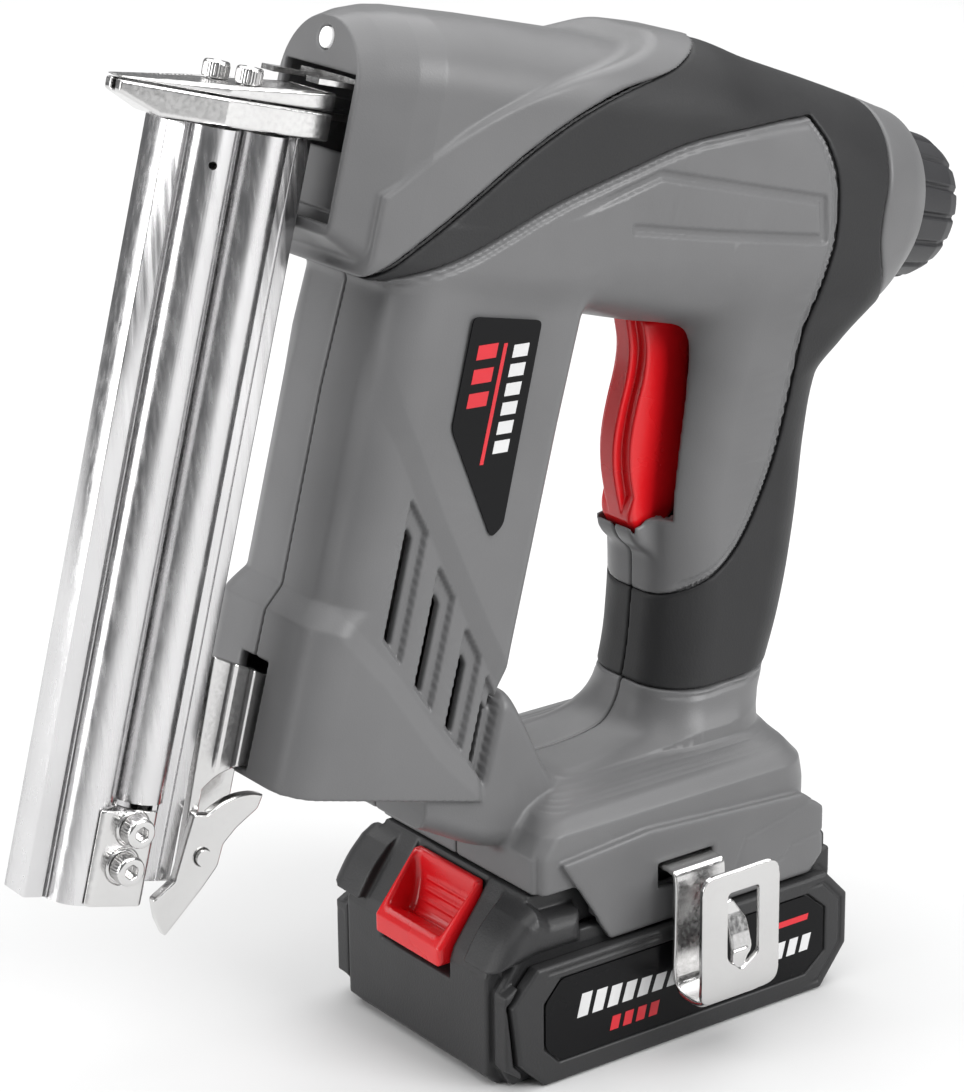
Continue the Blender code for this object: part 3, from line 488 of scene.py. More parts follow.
INK_PALE = plastic("pale_ink", (0.6, 0.6, 0.6), 0.35, 900.0, 0.05, edge_highlight=0.1)
INK_RED = plastic("red_ink", (0.56, 0.01, 0.02), 0.35, 900.0, 0.05, edge_highlight=0.1)
STEEL = metal("polished_steel", (0.66, 0.655, 0.65), 0.2)
BRUSHED = metal("brushed_steel", (0.62, 0.615, 0.61), 0.26, (1, 1, 0.06), -PITCH, 0.25)
ALUMINIUM = metal("drawn_aluminium", (0.68, 0.675, 0.68), 0.22, (1, 1, 0.03), -PITCH, 0.2)
DARK_STEEL = metal("dark_steel", (0.35, 0.34, 0.34), 0.35)
COPPER = metal("copper_wire", (0.8, 0.38, 0.2), 0.3, (0.1, 1, 1), 0.0, 0.4)
CELL = metal("cell_can", (0.62, 0.63, 0.66), 0.28, (1, 0.1, 1))
STRIP = strip_metal("brad_wires", (0.72, 0.7, 0.66), 0.00127)
LENS = clear_lens("lamp_lens")


# ---------------------------------------------------------------- housing
# Sections for lofted(): the head's along u, the column's along v, the handle's and the base's along z, and
# the bridge's along x.
HEAD_REAR = [
    (60, -33.4, 23.4, 20.4, 6, 15),
    (85, -34.0, 27.0, 24.0, 7, 17),
    (110, -34.4, 30.0, 26.0, 9, 18),
    (125, -35.4, 30.8, 26.8, 15, 19),
    (147, -36.0, 31.8, 27.6, 19, 20),
    (165, -36.0, 29.4, 28.0, 20, 21),
    (185, -35.0, 27.2, 28.0, 20, 21),
    (204, -31.8, 24.9, 27.6, 18, 22),
    (214, -28.6, 23.6, 26.0, 21, 22.5),
    (REAR_U - 1.6, -24.9, 23.0, 23.9, 23.7, 23.7),
    (REAR_U, -23.4, 21.5, 22.4, 22.2, 22.2),
]
HEAD_FRONT = [
    (FACE_U, -25.0, 21.9, 15.6, 3, 15.2),
    (57, -28.0, 23.9, 17.8, 4, 15.5),
    (64, -31.5, 25.4, 20.6, 5, 16),
    (70, -33.2, 26.0, 22.4, 6, 16),
    (90, -33.6, 27.0, 23.6, 7, 17),
    (115, -33.6, 27.6, 25.2, 8, 18),
    (150, -33.6, 28.0, 26.4, 9, 19),
]
COLUMN = [
    (-151.7, 64.2, 122.0, 23.6, 9, 4),
    (-113, 64.8, 121.0, COLUMN_HALF, 10, 4),
    (-107, 68.2, 121.0, COLUMN_HALF, 11.5, 4),
    (-60, 68.2, 121.0, COLUMN_HALF, 11.5, 4),
    (-33.4, 69.5, 122.0, COLUMN_HALF - 0.6, 11, 4),
    (-20, 71.0, 121.0, 22.0, 10, 4),
]
HANDLE = [
    (58, 0.0, 43.0, 20.4, 14, 14),
    (71, 6.0, 41.6, 18.6, 13, 13),
    (79, 9.2, 44.5, 17.4, 12.5, 12.5),
    (94, 12.0, 49.9, 17.0, 12.5, 12.5),
    (109, 13.0, 53.4, 17.0, 12.5, 12.5),
    (124, 12.6, 55.6, 17.2, 12.5, 12.5),
    (140, 14.5, 57.0, 17.8, 12.5, 12.5),
    (155, 17.6, 59.6, 19.0, 12, 13),
    (163, 19.0, 66.0, 20.2, 12, 13),
    (184, 22.0, 84.0, 21.0, 12, 13),
]
BASE = [
    (28, -42.5, 45.6, 33.5, 3.5, 11),
    (56.5, -42.5, 45.6, 33.5, 3.5, 11),
    (61.5, -39.6, 45.0, 33.0, 5, 11),
    (64.5, -36.4, 43.0, 30.0, 6, 11),
    (66.5, -32.0, 40.4, 24.5, 8, 12),
    (68.0, -27.0, 37.0, 18.0, 8, 12),
]
BRIDGE = [
    (-66, 66.0, 98.0, 21.0, 6, 5),
    (-42, 56.0, 96.0, 22.0, 6, 5),
    (-36, 56.0, 87.6, 21.0, 6, 5),
    (-30, 56.0, 75.6, 20.0, 6, 5),
    (-25.6, 56.0, 70.0, 19.5, 6, 5),
    (-19, 56.0, 68.2, 19.0, 6, 5),
    (12, 56.0, 71.6, 17.5, 6, 5),
]
REAR_EDGE = [(73, 240), (73.9, 221), (70.2, 206), (67.6, 194), (67.3, 186), (70, 176), (78.9, 163), (92, 148)]
COVER_EDGE = [(61.5, -33.9), (78, -17.5), (96.5, 1.7), (113, 14.7), (133, 24.5), (146, 32.5)]
BAND_EDGE = [(60, -14.0), (79, 4.0), (98.5, 16.0), (125, 27.0), (134, 34.0)]
GRIP_LOW_EDGE = [(64, -33.6), (84, -24), (104, -10.2), (122, 0), (140, 9.3), (160, 15.5), (176, 19.4)]
GRIP_BACK_EDGE = [(181, 14.5), (186.5, 4.9), (189.6, -8), (189, -22), (193, -48), (193, -69), (187, -90)]
GRIP_BACK_EDGE += [(171, -105)]
CHANNEL = [(40, -10), (64, -34), (75.9, -60.8), (92, -83.5), (110, -106.5), (118.2, -116.5), (134, -134)]
CHANNEL += [(134, -160), (104, -141), (86, -125), (68, -112), (40, -92)]
MOTIF = [(104, -14.9), (117.3, -7.9), (132.2, 0.4), (182.4, 0.4), (185.3, -8.8), (150.6, -11.5), (128, -12.8)]
TRIGGER_FRONT = [
    (8.1, 174.5), (9.2, 167), (8.5, 160.5), (6.3, 153), (4.8, 147), (4.1, 141.5), (4.3, 136), (5.3, 130),
]
TRIGGER_BACK = [(6.9, 123.8), (9.0, 120.4), (12.2, 118.8), (15.6, 119.8), (18.4, 124.5), (20.5, 140)]
TRIGGER_BACK += [(26.5, 174.5)]
TRIGGER_TURN = 12.2
# Each air slot as (u of its front, v of its top, v of its bottom).
VENTS = [(84.4, -87.2, -113.8), (95.9, -102.1, -124.5), (107.2, -116.1, -134.1), (116.3, -127.8, -142.2)]


def cover_region(space, gap):
    """Where the front cover is, out to gap mm behind its seam."""
    edge = [(u + gap, v) for u, v in curve(COVER_EDGE)]
    return stencil([(30, -34.0), *edge, (150 + gap, 60), (30, 60)], space.u, space.v)


def cap_region(space, gap):
    """Where the rear cap is, from gap mm behind its seam."""
    edge = [(x + gap, z) for x, z in curve(REAR_EDGE)]
    return stencil([*edge, (200, 148), (200, 240)], space.x, space.z)


def grip_region(space, gap):
    """Where the soft grip is, in side view: its part over the head, and its sleeve round the handle."""
    low = [(u, v + gap) for u, v in curve(GRIP_LOW_EDGE)]
    back = [(u + gap, v) for u, v in curve(GRIP_BACK_EDGE)]
    upper = [(40, -33.6), *low, *back, (168, -107.5), (240, -88.5), (300, -60), (300, 70), (40, 70)]
    lower = curve([(-10, 83.0 + gap), (30, 81.6 + gap), (90, 88.6 + gap)])
    sleeve_top = [(42, 118), (31, 113.6), (21.5, 106), (12.9, 103.2), (4, 101.6), (-10, 101.6)]
    lower += [(90, 118), *curve(sleeve_top)]
    return np.minimum(stencil(upper, space.u, space.v), stencil(lower, space.x, space.z))


def body_field(space):
    """The whole grey body, before it is split into pieces."""
    head = lofted(HEAD_REAR, space.u, space.v, space.side)
    column = lofted(COLUMN, space.v, space.u, space.side, smooth=False)
    handle = lofted(HANDLE, space.z, space.x, space.side)
    base = lofted(BASE, space.z, space.x, space.side, smooth=False)
    bridge = lofted(BRIDGE, space.x, space.z, space.side)
    upper = melt(melt(head, column, 3.0), handle, 9.0)
    shoe = block(space, (-42.2, -31.4, 40), (-6, 31.4, 57.6))
    shoe = np.maximum(shoe, (space.z - space.x - 98.4) * 0.71)
    lower = melt(melt(base, handle, 11.0), bridge, 3.0)
    body = melt(upper, melt(lower, shoe, 0.8), 1.5 + 3.5 * ramp(space.x, -36, -12))
    body = melt(body, side_cover(space), 0.6)
    return melt(body, trigger_lip(space), 2.5)


def flap(space, gap=0.0):
    """Side view of the raised cover, whose slanted front laps over the battery."""
    outline = [(-36.5, 55), (-22.0, 31.8), (41.0, 31.8), (45.4, 36.4), (45.4, 49), (39, 54), (-10, 57)]
    return stencil(rounded(outline, 0.8), space.x, space.z) - gap


def side_cover(space):
    """The raised cover on each side of the base, over the battery's top, and the lip over the hook's leg."""
    x, z, side = space.x, space.z, space.side
    cover = meet(flap(space), np.maximum(30.0 - side, side - 35.8), 1.0)
    lip = [(-10.2, 43.0), (12.0, 43.0), (12.0, 48.6), (9.6, 50.6), (-7.8, 50.2), (-10.2, 48.0)]
    lip = meet(stencil(rounded(lip, 0.8), x, z), np.maximum(-37.6 - space.y, space.y + 30), 1.2)
    return melt(cover, lip, 0.8)


def trigger_lip(space):
    """The rim that carries round under the trigger."""
    outline = curve([(6.0, 123.4), (6.6, 120.4), (8.4, 117.6), (10.8, 115.8), (14.6, 114.6), (21, 115.0)])
    outline += [(26, 120), (26, 128), (15, 128), (9.5, 124.5)]
    return meet(stencil(outline, space.x, space.z), space.side - 8.0, 2.6)


def trigger_room(space):
    """The way of the trigger, and the slanted rim in front of the handle on both sides of it."""
    x, z, side = space.x, space.z, space.side
    front = [(u - 0.2, v) for u, v in curve(TRIGGER_FRONT)]
    back = [(u, v) for u, v in curve(TRIGGER_BACK) if u < TRIGGER_TURN]
    room = [(-20, 176), (-20, 128), *front[-3:], *back, (TRIGGER_TURN, 118.6), (40, 118.6), (40, 176)]
    room = stencil(room, x, z)
    room = np.maximum(room - 0.8, side - 7.0)
    rim = [(-20, 176), (14, 176), (19.4, 174.6), (21.4, 171), (21.0, 166), (19.2, 152), (15.2, 131)]
    rim = stencil([*rim, (13.2, 124.6), (-20, 124.6)], x - 0.42 * (side - 6.5), z)
    return np.minimum(room, np.maximum(rim, side - 12.8))


def relief(space):
    """How far the surface is sunk, from the side: the column's channel, the vents' frames and the lines."""
    u, v = space.u, space.v
    inside = -stencil(CHANNEL, u, v)
    slope = np.clip(inside / 4.6, 0, 1)
    depth = 1.5 * slope * ramp(v, -22, -50) * ramp(u, 123, 120.5) * ramp(u, 62, 80)
    depth = depth + 0.8 * (ramp(line(MOTIF, u, v), 1.5, 0.6) * ramp(u, 106, 124))
    for left, top, bottom in VENTS:
        wide = min(4.8, 121.0 - left)
        low = [(left + wide, bottom - 5.2), (left - 1.2, bottom)]
        frame_line = stencil([(left - 1.2, top + 6.4), (left + wide, top - 0.8), *low], u, v)
        depth = depth + 1.6 * ramp(frame_line, 0.25, -0.35)
    grip = grip_region(space, 0)
    below_top = ramp(space.z, 244.4, 241)
    depth = depth + 1.1 * ramp(np.abs(grip - 0.2), 0.75, 0.25) * below_top
    return depth + 0.6 * ramp(np.abs(grip - 1.8), 0.85, 0.3) * below_top


def base_lines(space):
    """Seams at the rear of the base, and the creases under its side."""
    x, z = space.x, space.z
    seams = ([(17.0, 40.0), (20.0, 47.0), (46.0, 52.2)], [(17, 36.2), (33, 38.6), (35, 41.2), (47, 42.4)])
    nearest = np.minimum(line(seams[0], x, z), line(seams[1], x, z))
    return 0.5 * ramp(nearest, 0.7, 0.15)


def openings(space):
    """Everything that is cut out of the housing."""
    cuts = [
        block(space, (-80, -30.8, 0), (80, 30.8, 47.3)),
        np.maximum(block(space, (-80, -60, 0), (-26, 60, 47.3)), -np.maximum(flap(space), 33.8 - space.side)),
        block(space, (-44, -32.6, 46), (-41.2, -31.2, 58)),
        block(space, (-80, -33.3, 0), (80, 33.3, 38.4)),
        block(space, (-80, -60, 0), (80, 60, 31.8)),
        block(space, (-7.4, -60, 41.0), (9.4, -31.4, 47.6)),
        block(space, (55, -5.4, -150.2), (70.5, 5.4, -124.4), HEAD),
        trigger_room(space),
    ]
    for left, top, bottom in VENTS:
        outline = [(left, top), (left + 2.0, top - 2.8), (left + 2.0, bottom - 1.6), (left, bottom + 0.4)]
        cuts.append(np.maximum(stencil(outline, space.u, space.v), space.y + 15.0))
    return functools.reduce(np.minimum, cuts)


def housing():
    """Both halves of the housing and of the soft grip, from the left half of the body."""
    space = Space((-108, -34.5, 28), (94, 0, 245.4), 0.6)
    skin = body_field(space)
    body = skin + relief(space) * ramp(-space.y, 12, 16) + base_lines(space) * ramp(-space.y, 28, 32)
    shell = np.maximum(body, -(body + WALL))
    seat = np.maximum(-(body + GRIP_SKIN + GAP), grip_region(space, -GAP))
    shell = carve(shell, seat, 0.7)
    shell = carve(shell, cover_region(space, 0), 1.0)
    shell = carve(shell, cap_region(space, 0), 0.8)
    shell = carve(shell, openings(space), 0.8)
    shell = meet(shell, space.y + 0.15, 0.6)
    solid("housing_shell_left", shell, space, GREY, "body", ["housing_left"], keep=0.28)
    for u, v in ((112.0, -146.6), (74.5, -146.6), (112.0, -29.5), (178.0, -26.0)):
        hole = bar(space.u, space.v, (u, v), 3.1)
        shell = carve(shell, np.maximum(hole, space.y + 15.0), 0.8)
        boss = np.maximum(bar(space.u, space.v, (u, v), 4.6), np.maximum(space.y, -19.7 - space.y))
        boss = np.maximum(boss, -bar(space.u, space.v, (u, v), 1.7))
        shell = np.minimum(shell, np.maximum(boss, body + 1.2))
    solid("housing_shell_right", shell, space, GREY, "body", ["housing_right"], True, 0.28)
    grip = np.maximum(skin, -(skin + GRIP_SKIN))
    grip = meet(grip, grip_region(space, 0), 0.7)
    grip = carve(grip, cover_region(space, GAP), 0.7)
    grip = carve(grip, cap_region(space, 0), 0.7)
    grip = carve(grip, stencil([(-20, 112), (19, 112), (25, 178), (-20, 178)], space.x, space.z), 0.7)
    grip = meet(grip, space.y + 0.15, 0.4)
    solid("soft_grip_left", grip, space, OVERMOLD, "body", ["grip_left"], keep=0.3)
    solid("soft_grip_right", grip, space, OVERMOLD, "body", ["grip_right"], True, 0.3)


def front_cover():
    """The cover of the head's front, with its rim band, its mouth and the lamp's hole."""
    space = Space((FACE_U, -30, -34.2), (151, 30, 33), 0.5, HEAD)
    front = lofted(HEAD_FRONT, space.u, space.v, space.side, smooth=False)
    rear = lofted(HEAD_REAR, space.u, space.v, space.side)
    band = stencil([*curve(BAND_EDGE), (150, 60), (200, 60), (200, -60), (60, -60)], space.u, space.v)
    rear = meet(rear - 0.7, band, 1.4)
    cover = melt(front, rear, 1.0)
    shell = np.maximum(cover, -(cover + WALL))
    edge = cover_region(space, -GAP)
    chamfer = 1.7 * ramp(space.v, 26, 18)
    shell = np.maximum(np.maximum(shell, edge), (shell + edge + chamfer) * 0.71)
    shell = carve(shell, block(space, (72, -21, -60), (130, 21, -10), HEAD), 0.8)
    mouth = block(space, (40, -13.6, -22.5), (60, 13.6, 10.6), HEAD)
    shell = carve(shell, mouth, 0.8)
    wall = block(space, (57, -14.5, -24), (59.5, 14.5, -5.6), HEAD)
    wall = carve(wall, block(space, (50, -9.4, -20.4), (58.2, 9.4, -7.4), HEAD), 0.4)
    wall = np.maximum(wall, -block(space, (50, -10.4, -7.2), (66, 10.4, 0), HEAD))
    shell = melt(shell, wall, 0.6)
    shell = carve(shell, np.maximum(bar(space.y, space.v, (0, LENS_V), 2.7), space.u - 70), 0.7)
    solid("head_cover", shell, space, GREY, "body", ["front_cover"], keep=0.35)


def rear_cap():
    space = Space((192, -29, -33), (REAR_U, 29, 28), 0.5, HEAD)
    cap = lofted(HEAD_REAR, space.u, space.v, space.side)
    shell = np.maximum(cap, -(cap + WALL))
    shell = meet(shell, cap_region(space, GAP), 1.4)
    shell = carve(shell, bar(space.y, space.v, (0, 0), 8.4), 0.8)
    solid("head_cap", shell, space, GREY, "body", ["rear_cap"], keep=0.4)


def knob():
    """The adjuster knob: a taper with 16 grooves, a ring and a dish in its end."""
    space = Space((REAR_U - 14, -20.5, -20.5), (KNOB_END_U, 20.5, 20.5), 0.42, HEAD)
    radius, angle = np.hypot(space.y, space.v), np.arctan2(space.v, space.y)
    places = [REAR_U + 0.3, REAR_U + 1.5, REAR_U + 13, KNOB_END_U - 3, KNOB_END_U - 0.8, KNOB_END_U]
    outer = np.interp(space.u, places, [19.0, 19.6, 18.4, 16.6, 13.6, 11.1]).astype(np.float32)
    field = meet(radius - outer, np.maximum(REAR_U + GAP - space.u, space.u - KNOB_END_U), 1.6)
    pitch = 2 * math.pi / 16
    swing = np.abs((angle + pitch / 2) % pitch - pitch / 2) * radius
    groove = ramp(swing, 0.95, 0.35) * ramp(space.u, REAR_U + 1.8, REAR_U + 3.4) * ramp(radius, 11.0, 13.5)
    field = field + 0.95 * groove
    step = ramp(np.abs(space.u - (KNOB_END_U - 2.6)), 0.9, 0.3) * 0.4
    field = field + step * ramp(radius, 11, 13)
    dish = np.maximum(radius - 8.0, KNOB_END_U - 1.2 - space.u)
    field = carve(field, dish, 0.8)
    spindle = np.maximum(radius - 4.0, np.maximum(REAR_U - 14 - space.u, space.u - REAR_U - 3))
    field = melt(field, spindle, 0.5)
    solid("depth_knob", field, space, NYLON, "knob", ["adjuster_knob"], keep=0.5)


# ---------------------------------------------------------------- nose and magazine
def nose():
    """The two steel plates of the nose; the lower one has the slots that the brads pass."""
    space = Space((-1, -10, -6), (106, 10, 7), 0.3, HEAD)
    u, y, v = space.u, space.y, space.v
    top_view = stencil([(0, -3.2), (24, -9), (51.2, -9), (51.2, 9), (24, 9), (0, 3.2)], u, y)
    lower = stencil([(-1, -1.2), (9.6, -5.2), (60, -5.0), (60, 1.2), (-1, 1.2)], u, v)
    base = meet(top_view, lower, 0.7)
    base = carve(base, block(space, (-5, -0.85, -1.2), (120, 0.85, 5), HEAD), 0.3)
    base = carve(base, block(space, (12.2, -1.2, -20), (46.2, 1.2, 5), HEAD), 0.3)
    upper = stencil([(-1, 1.5), (60, 1.5), (60, 6.4), (-1, 1.9)], u, v)
    cover = meet(top_view, upper, 0.7)
    cover = cover + 0.3 * (ramp(np.abs(top_view + 1.6), 0.45, 0.1) * ramp(v, 2.2, 3.0))
    tongue = block(space, (48, -6.5, 2.2), (105.7, 6.5, 4.6), HEAD)
    cover = melt(cover, tongue, 0.4)
    for place in NOSE_SCREWS:
        base = carve(base, bar(u, y, place, 2.3), 0.4)
        cover = carve(cover, bar(u, y, place, 2.3), 0.4)
    solid("nose_lower_plate", base, space, STEEL, "body", ["nose_base"], keep=0.35)
    solid("nose_upper_plate", cover, space, STEEL, "body", ["nose_cover"], keep=0.35)


def screw(name, node, body, seat, direction, length, radius=3.5, height=4.0, shank=2.0, frame=HEAD):
    """A cap screw: knurled head, hexagon socket with a chamfer, and a plain shank."""
    way = Vector(direction)
    low = Vector(seat) - way * length
    high = Vector(seat) + way * height
    corners = [[min(a, b) - radius * (1 - abs(d)) for a, b, d in zip(low, high, way)]]
    corners.append([max(a, b) + radius * (1 - abs(d)) for a, b, d in zip(low, high, way)])
    space = Space(*corners, 0.2, frame)
    first, second = (space.u, space.v) if frame is HEAD else (space.x, space.z)
    if abs(way.y) > 0.5:
        p, q, rise = first - seat[0], second - seat[2], (space.y - seat[1]) * way.y
    else:
        p, q, rise = first - seat[0], space.y - seat[1], (second - seat[2]) * way.z
    distance, angle = np.hypot(p, q), np.arctan2(q, p)
    knurl = 0.09 * np.cos(angle * 30) * ramp(np.abs(rise - height * 0.45), height * 0.42, height * 0.3)
    head = np.maximum(meet(distance - radius + knurl, rise - height, 0.9), -rise)
    rod = np.maximum(distance - shank, np.maximum(-length - rise, rise - 0.5))
    sixth = (angle + math.pi / 6) % (math.pi / 3) - math.pi / 6
    socket = np.maximum(distance * np.cos(sixth) - radius * 0.42, height - 2.2 - rise)
    field = carve(np.minimum(head, rod), socket, 0.35)
    solid(name, field, space, STEEL, body, [node], keep=0.5)


def extruded(name, outline, low, high, look, body, nodes, cutters=(), edge=0.25):
    """A drawn profile of (u, y) points along the magazine, with its ends' edges broken."""
    bm = bmesh.new()
    rings = [[bm.verts.new((u, y, v)) for u, y in outline] for v in (low, high)]
    ends = [bm.faces.new(ring) for ring in rings]
    for i in range(len(outline)):
        j = (i + 1) % len(outline)
        bm.faces.new((rings[0][i], rings[0][j], rings[1][j], rings[1][i]))
    rims = [side for face in ends for side in face.edges]
    bmesh.ops.bevel(bm, geom=rims, offset=edge, segments=2, profile=0.5, affect="EDGES")
    bmesh.ops.recalc_face_normals(bm, faces=bm.faces)
    mesh = bpy.data.meshes.new(name)
    bm.to_mesh(mesh)
    bm.free()
    for cutter in cutters:
        mesh = pierced(mesh, cutter)
    mesh.transform(Matrix.Scale(MM, 4) @ HEAD)
    mesh.shade_smooth()
    mesh.set_sharp_from_angle(angle=math.radians(28))
    return show(name, mesh, look, body, nodes)


def pierced(mesh, cutter):
    """The mesh without the cutter's shape, a (low corner, high corner) box or a (start, end, radius) rod."""
    bm = bmesh.new()
    if len(cutter) == 2:
        low, high = Vector(cutter[0]), Vector(cutter[1])
        bmesh.ops.create_cube(bm, size=1.0)
        bm.transform(Matrix.Translation((low + high) / 2) @ Matrix.Diagonal((*(high - low), 1.0)))
    else:
        start, end, radius = Vector(cutter[0]), Vector(cutter[1]), cutter[2]
        run = end - start
        sizes = {"radius1": radius, "radius2": radius, "depth": run.length}
        bmesh.ops.create_cone(bm, segments=32, cap_ends=True, **sizes)
        turn = Vector((0, 0, 1)).rotation_difference(run).to_matrix().to_4x4()
        bm.transform(Matrix.Translation((start + end) / 2) @ turn)
    tool_mesh = bpy.data.meshes.new("tool")
    bm.to_mesh(tool_mesh)
    bm.free()
    tool = bpy.data.objects.new("tool", tool_mesh)
    bpy.context.scene.collection.objects.link(tool)
    made = applied(mesh, "BOOLEAN", operation="DIFFERENCE", solver="EXACT", object=tool)
    bpy.data.objects.remove(tool)
    return made


def half_round(centre, radius, level, steps=28):
    """Points of a rib's arc that starts and ends at y = level and bulges to -Y."""
    first = -math.asin((level + MAGAZINE_HALF) / radius)
    turn = math.pi - 2 * first
    angles = [first + turn * k / steps for k in range(steps + 1)]
    return [(centre - radius * math.cos(a), -MAGAZINE_HALF - radius * math.sin(a)) for a in angles]


def magazine():
    """The sliding cover with its two ribs, and the track behind it, as drawn profiles seen from above."""
    half, top, bottom = MAGAZINE_HALF, MAGAZINE_TOP, MAGAZINE_BOTTOM
    outline = [(17.0, half), (12.5, half), (12.15, half - 0.15), (12, half - 0.5), (12, 0.5 - half)]
    outline += [(12.15, 0.15 - half), (12.5, -half), (16.8, -half), (17.0, 0.2 - half), (17.0, -3.6)]
    outline += [(17.7, -3.6), (17.7, -half)]
    outline += half_round(RIBS[0], 6.0, -half) + half_round(RIBS[1], 6.0, -half)
    outline += [(42.8, -half), (42.8, -0.9)]
    outline += half_round(RIBS[1], 4.9, -0.9)[::-1] + half_round(RIBS[0], 4.9, -0.9)[::-1]
    outline += [(13.6, -0.9), (13.6, 0.9), (17.0, 0.9)]
    cutters = (
        ((30.4, -30, bottom - 5), (60, -half, bottom + 23.5)),
        ((22.0, -20, -13.5), (22.0, -3, -13.5), 0.9),
    )
    extruded("magazine_slide_cover", outline, bottom, top, ALUMINIUM, "magazine_slide", ["magazine_cover"],
             cutters)
    track = [(17.4, 0.9), (44.4, 0.9), (44.4, -0.9), (43.2, -0.9), (43.2, -half), (45.8, -half)]
    track += [(45.9, -4.1), (46.5, -4.1), (46.6, -half), (49.6, -half), (49.9, 0.1 - half), (50, 0.4 - half)]
    track += [(50, half - 0.4), (49.9, half - 0.1), (49.6, half)]
    track += [(17.8, half), (17.5, half - 0.1), (17.4, half - 0.4)]
    extruded("magazine_rail", track, bottom + 3.5, top, ALUMINIUM, "body", ["magazine_track"])


def end_clamp():
    """The steel block at the magazine's foot, with a hollow for each rib and a fine ring round each screw."""
    low, high = MAGAZINE_BOTTOM + 0.2, MAGAZINE_BOTTOM + 22.6
    space = Space((23, -12.5, low), (39.4, -4.5, high), 0.22, HEAD)
    field = meet(block(space, (23.4, -12.0, low), (39.0, -5.1, high), HEAD), np.float32(-3), 0.2)
    corner = np.minimum(space.u - 23.4, 39.0 - space.u)
    field = meet(field, (1.2 - corner - (space.y + 12.0)) * 0.7, 0.5)
    field = carve(field, bar(space.u, space.y, (24.0, -4.5), 6.3), 0.4)
    notch = np.maximum(bar(space.u, space.y, (RIBS[1], -4.5), 6.4), high - 1.6 - space.v)
    field = carve(field, notch, 0.4)
    for place in CLAMP_SCREWS:
        field = carve(field, bar(space.u, space.v, place, 2.3), 0.3)
        ring = bar(space.u, space.v, place, 4.1)
        field = field + 0.35 * ramp(np.abs(ring), 0.4, 0.1) * ramp(space.y, -11.0, -11.6)
    solid("clamp_block", field, space, STEEL, "magazine_slide", ["end_clamp"], keep=0.35)


def latch():
    """The folded bracket that ties the magazine to the column, and the release lever on its pin."""
    space = Space((44, -8, -191), (71, 5, -122), 0.25, HEAD)
    u, y, v = space.u, space.y, space.v
    pin = (55.5, -170.2)
    arch = curve([(68.4, -149.0), (63.0, -149.6), (58.0, -151.6), (54.2, -155.0)])
    side = [(50.6, -123.6), (67.2, -127.8), *arch]
    side += [(54.4, -162.0), (58.6, -166.4), (58.6, -174.0), (52.0, -174.0)]
    field = meet(stencil(rounded(side, 0.5), u, v), np.maximum(-4.5 - y, y + 1.8), 0.5)
    for bend in (56.4, 61.6):
        field = field + 0.3 * ramp(np.abs(u - bend), 1.1, 0.3) * ramp(y, -3.9, -4.5) * ramp(v, -153, -148)
    far_side = [(52, -126), (67.2, -128), (67.2, -163.5), (59, -165), (54, -163)]
    far = meet(stencil(far_side, u, v), np.maximum(2.4 - y, y - 4.5), 0.5)
    back = block(space, (65.4, -4.4, -150), (67.2, 4.5, -130), HEAD)
    field = melt(melt(field, back, 0.5), far, 0.4)
    field = carve(field, bar(u, v, pin, 2.1), 0.3)
    solid("latch_bracket", field, space, STEEL, "body", ["magazine_bracket"], keep=0.35)
    hook = curve([(54.9, -160.1), (58.0, -157.4), (62.0, -155.6), (66.0, -154.9), (69.2, -155.2)])
    side = [*hook, (68.4, -158.6), (63.6, -163.2), (60.8, -167.2), (60.4, -172.4), (57.2, -178.0)]
    side += [(49.6, -189.4), (46.6, -185.4), (44.6, -180.6), (49.4, -176.0), (51.2, -160.1)]
    field = meet(stencil(rounded(side, 0.7), u, v), np.maximum(-7.6 - y, y + 4.9), 0.6)
    field = carve(field, bar(u, v, pin, 2.1), 0.3)
    solid("latch_arm", field, space, STEEL, "lever", ["latch_lever"], keep=0.35)


# ---------------------------------------------------------------- trigger
def trigger():
    """The trigger: a hollow blade whose cheeks run back beside the switch."""
    space = Space((3, -6.4, 117), (30, 6.4, 175), 0.3)
    front, back = curve(TRIGGER_FRONT), curve(TRIGGER_BACK)
    cheeks = [(x, z) for x, z in back if x < TRIGGER_TURN]
    cheeks += [(16.4, 119.2), (21, 124), (24, 140), (25.6, 160), (26.5, 174.5)]
    field = meet(stencil([*front, *cheeks], space.x, space.z), space.side - 6.2, 2.2)
    hollow = np.maximum(-stencil([*front, *back], space.x, space.z), space.side - 3.8)
    field = carve(field, hollow, 0.4)
    behind = [(x + 2.6, z) for x, z in front]
    step = stencil([(-10, 180), *behind, (4, 116), (-10, 116)], space.x, space.z)
    field = carve(field, np.maximum(step, 2.9 - space.side), 0.8)
    solid("trigger_blade", field, space, RED, "trigger", ["trigger"], keep=0.4)


# ---------------------------------------------------------------- battery
PANEL = [(-51.4, 7.6), (-43.6, 0.0), (44.0, 0.0), (52.2, 10.4)]
PANEL += [(52.2, 24.2), (45.6, 31.2), (-45.4, 31.2), (-53.0, 23.0)]
LABEL = [(-43.4, 10.0), (-39.0, 5.6), (38.0, 5.6), (44.4, 10.4)]
LABEL += [(44.4, 22.0), (38.6, 27.0), (-38.4, 27.0), (-43.4, 21.6)]
PANEL_MIDDLE = 15.8
SIDES = ((False, "left"), (True, "right"))


def eased(outline, tall):
    """A panel's outline made slightly longer and taller, for the recess that takes it."""
    return [(a * 1.012, PANEL_MIDDLE + (b - PANEL_MIDDLE) * tall) for a, b in outline]


